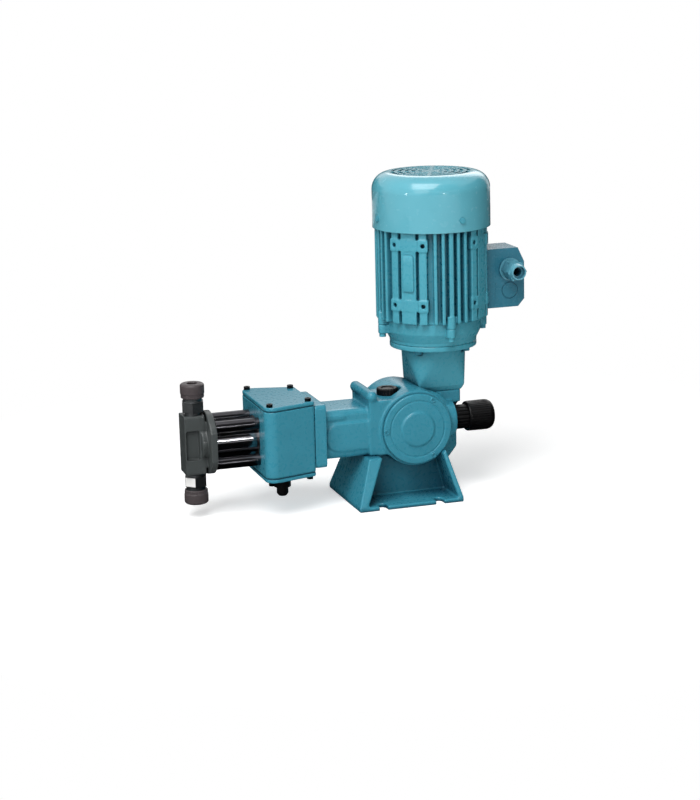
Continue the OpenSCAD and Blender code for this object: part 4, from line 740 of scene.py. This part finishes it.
room_light = 0.10
world = bpy.data.worlds.new("studio")
bpy.context.scene.world = world
world.use_nodes = True
tree = world.node_tree
tree.nodes.clear()
seen = add(tree, "ShaderNodeLightPath")
watched = add(tree, "ShaderNodeMath",
              {0: seen.outputs["Is Camera Ray"], 1: seen.outputs["Is Glossy Ray"]}, operation="MAXIMUM")
room = add(tree, "ShaderNodeBackground", {"Color": (1, 1, 1, 1), "Strength": room_light})
white = add(tree, "ShaderNodeBackground", {"Color": (1, 1, 1, 1), "Strength": 1.0})
sky = add(tree, "ShaderNodeMixShader", {0: watched.outputs[0], 1: room.outputs[0], 2: white.outputs[0]})
add(tree, "ShaderNodeOutputWorld", {"Surface": sky.outputs[0]})

# Lamps
# A broad soft lamp high up in front and to the left, a weaker one lower beside it
# and one behind the pump, and two small ones whose glints show on the cowl.
pump_middle = Vector((0, 0, 0.18))


def lamp(name, place, size, power):
    """A square area lamp, size metres wide and power watts strong, that faces the pump's middle."""
    data = bpy.data.lights.new(name, "AREA")
    data.size = size
    data.energy = power
    made = bpy.data.objects.new(name, data)
    aim = pump_middle - Vector(place)
    made.matrix_world = Matrix.Translation(place) @ aim.to_track_quat("-Z", "Y").to_matrix().to_4x4()
    bpy.context.scene.collection.objects.link(made)


lamp("key_lamp", (-0.95, -1.30, 2.6), size=2.0, power=84)
lamp("front_lamp", (-1.55, -2.05, 1.3), size=1.4, power=13)
lamp("back_lamp", (1.3, 2.3, 1.7), size=1.6, power=12)
lamp("left_glint", (-1.77, -0.76, 0.40), size=0.10, power=1.6)
lamp("front_glint", (0.21, -1.86, 0.40), size=0.10, power=1.6)

# Black cards
# Black velvet round the pump, as photographers set it up: it is seen only as a
# reflection, keeps the enamel's gloss deep and draws dark streaks along the steel.
black_card, tree = new_material("black_velvet_card")
finish_material(tree, add(tree, "ShaderNodeBsdfDiffuse", {"Color": linear("#0C0C0E")}))


def dark_card(name, corners):
    """A black card that only mirrors in the pump: it takes no light and isn't seen itself."""
    data = bpy.data.meshes.new(name)
    data.from_pydata(corners, [], [(0, 1, 2, 3)])
    made = bpy.data.objects.new(name, data)
    bpy.context.scene.collection.objects.link(made)
    data.materials.append(black_card)
    made.visible_camera = False
    made.visible_diffuse = False
    made.visible_shadow = False


dark_card("low_card", [(-2.2, -3.0, 0.0), (1.9, -3.0, 0.0), (1.9, -3.0, 0.80), (-2.2, -3.0, 0.80)])
dark_card("high_card", [(-1.2, -3.0, 1.30), (2.2, -3.0, 1.30), (2.2, -1.6, 3.6), (-1.2, -1.6, 3.6)])
card_lift = 0.0005
dark_card("floor_card", [(-2.2, -1.05, card_lift), (2.2, -1.05, card_lift),
                         (2.2, 2.2, card_lift), (-2.2, 2.2, card_lift)])
dark_card("right_card", [(1.5, -2.2, 0.0), (1.9, 1.2, 0.0), (1.9, 1.2, 1.6), (1.5, -2.2, 1.6)])
dark_card("back_left_card", [(-2.8, 2.2, 0.0), (-0.1, 2.6, 0.0), (-0.1, 2.6, 1.2), (-2.8, 2.2, 1.2)])
dark_card("back_right_card", [(-0.1, 2.6, 0.0), (2.4, 2.6, 0.0), (2.4, 2.6, 0.76), (-0.1, 2.6, 0.76)])
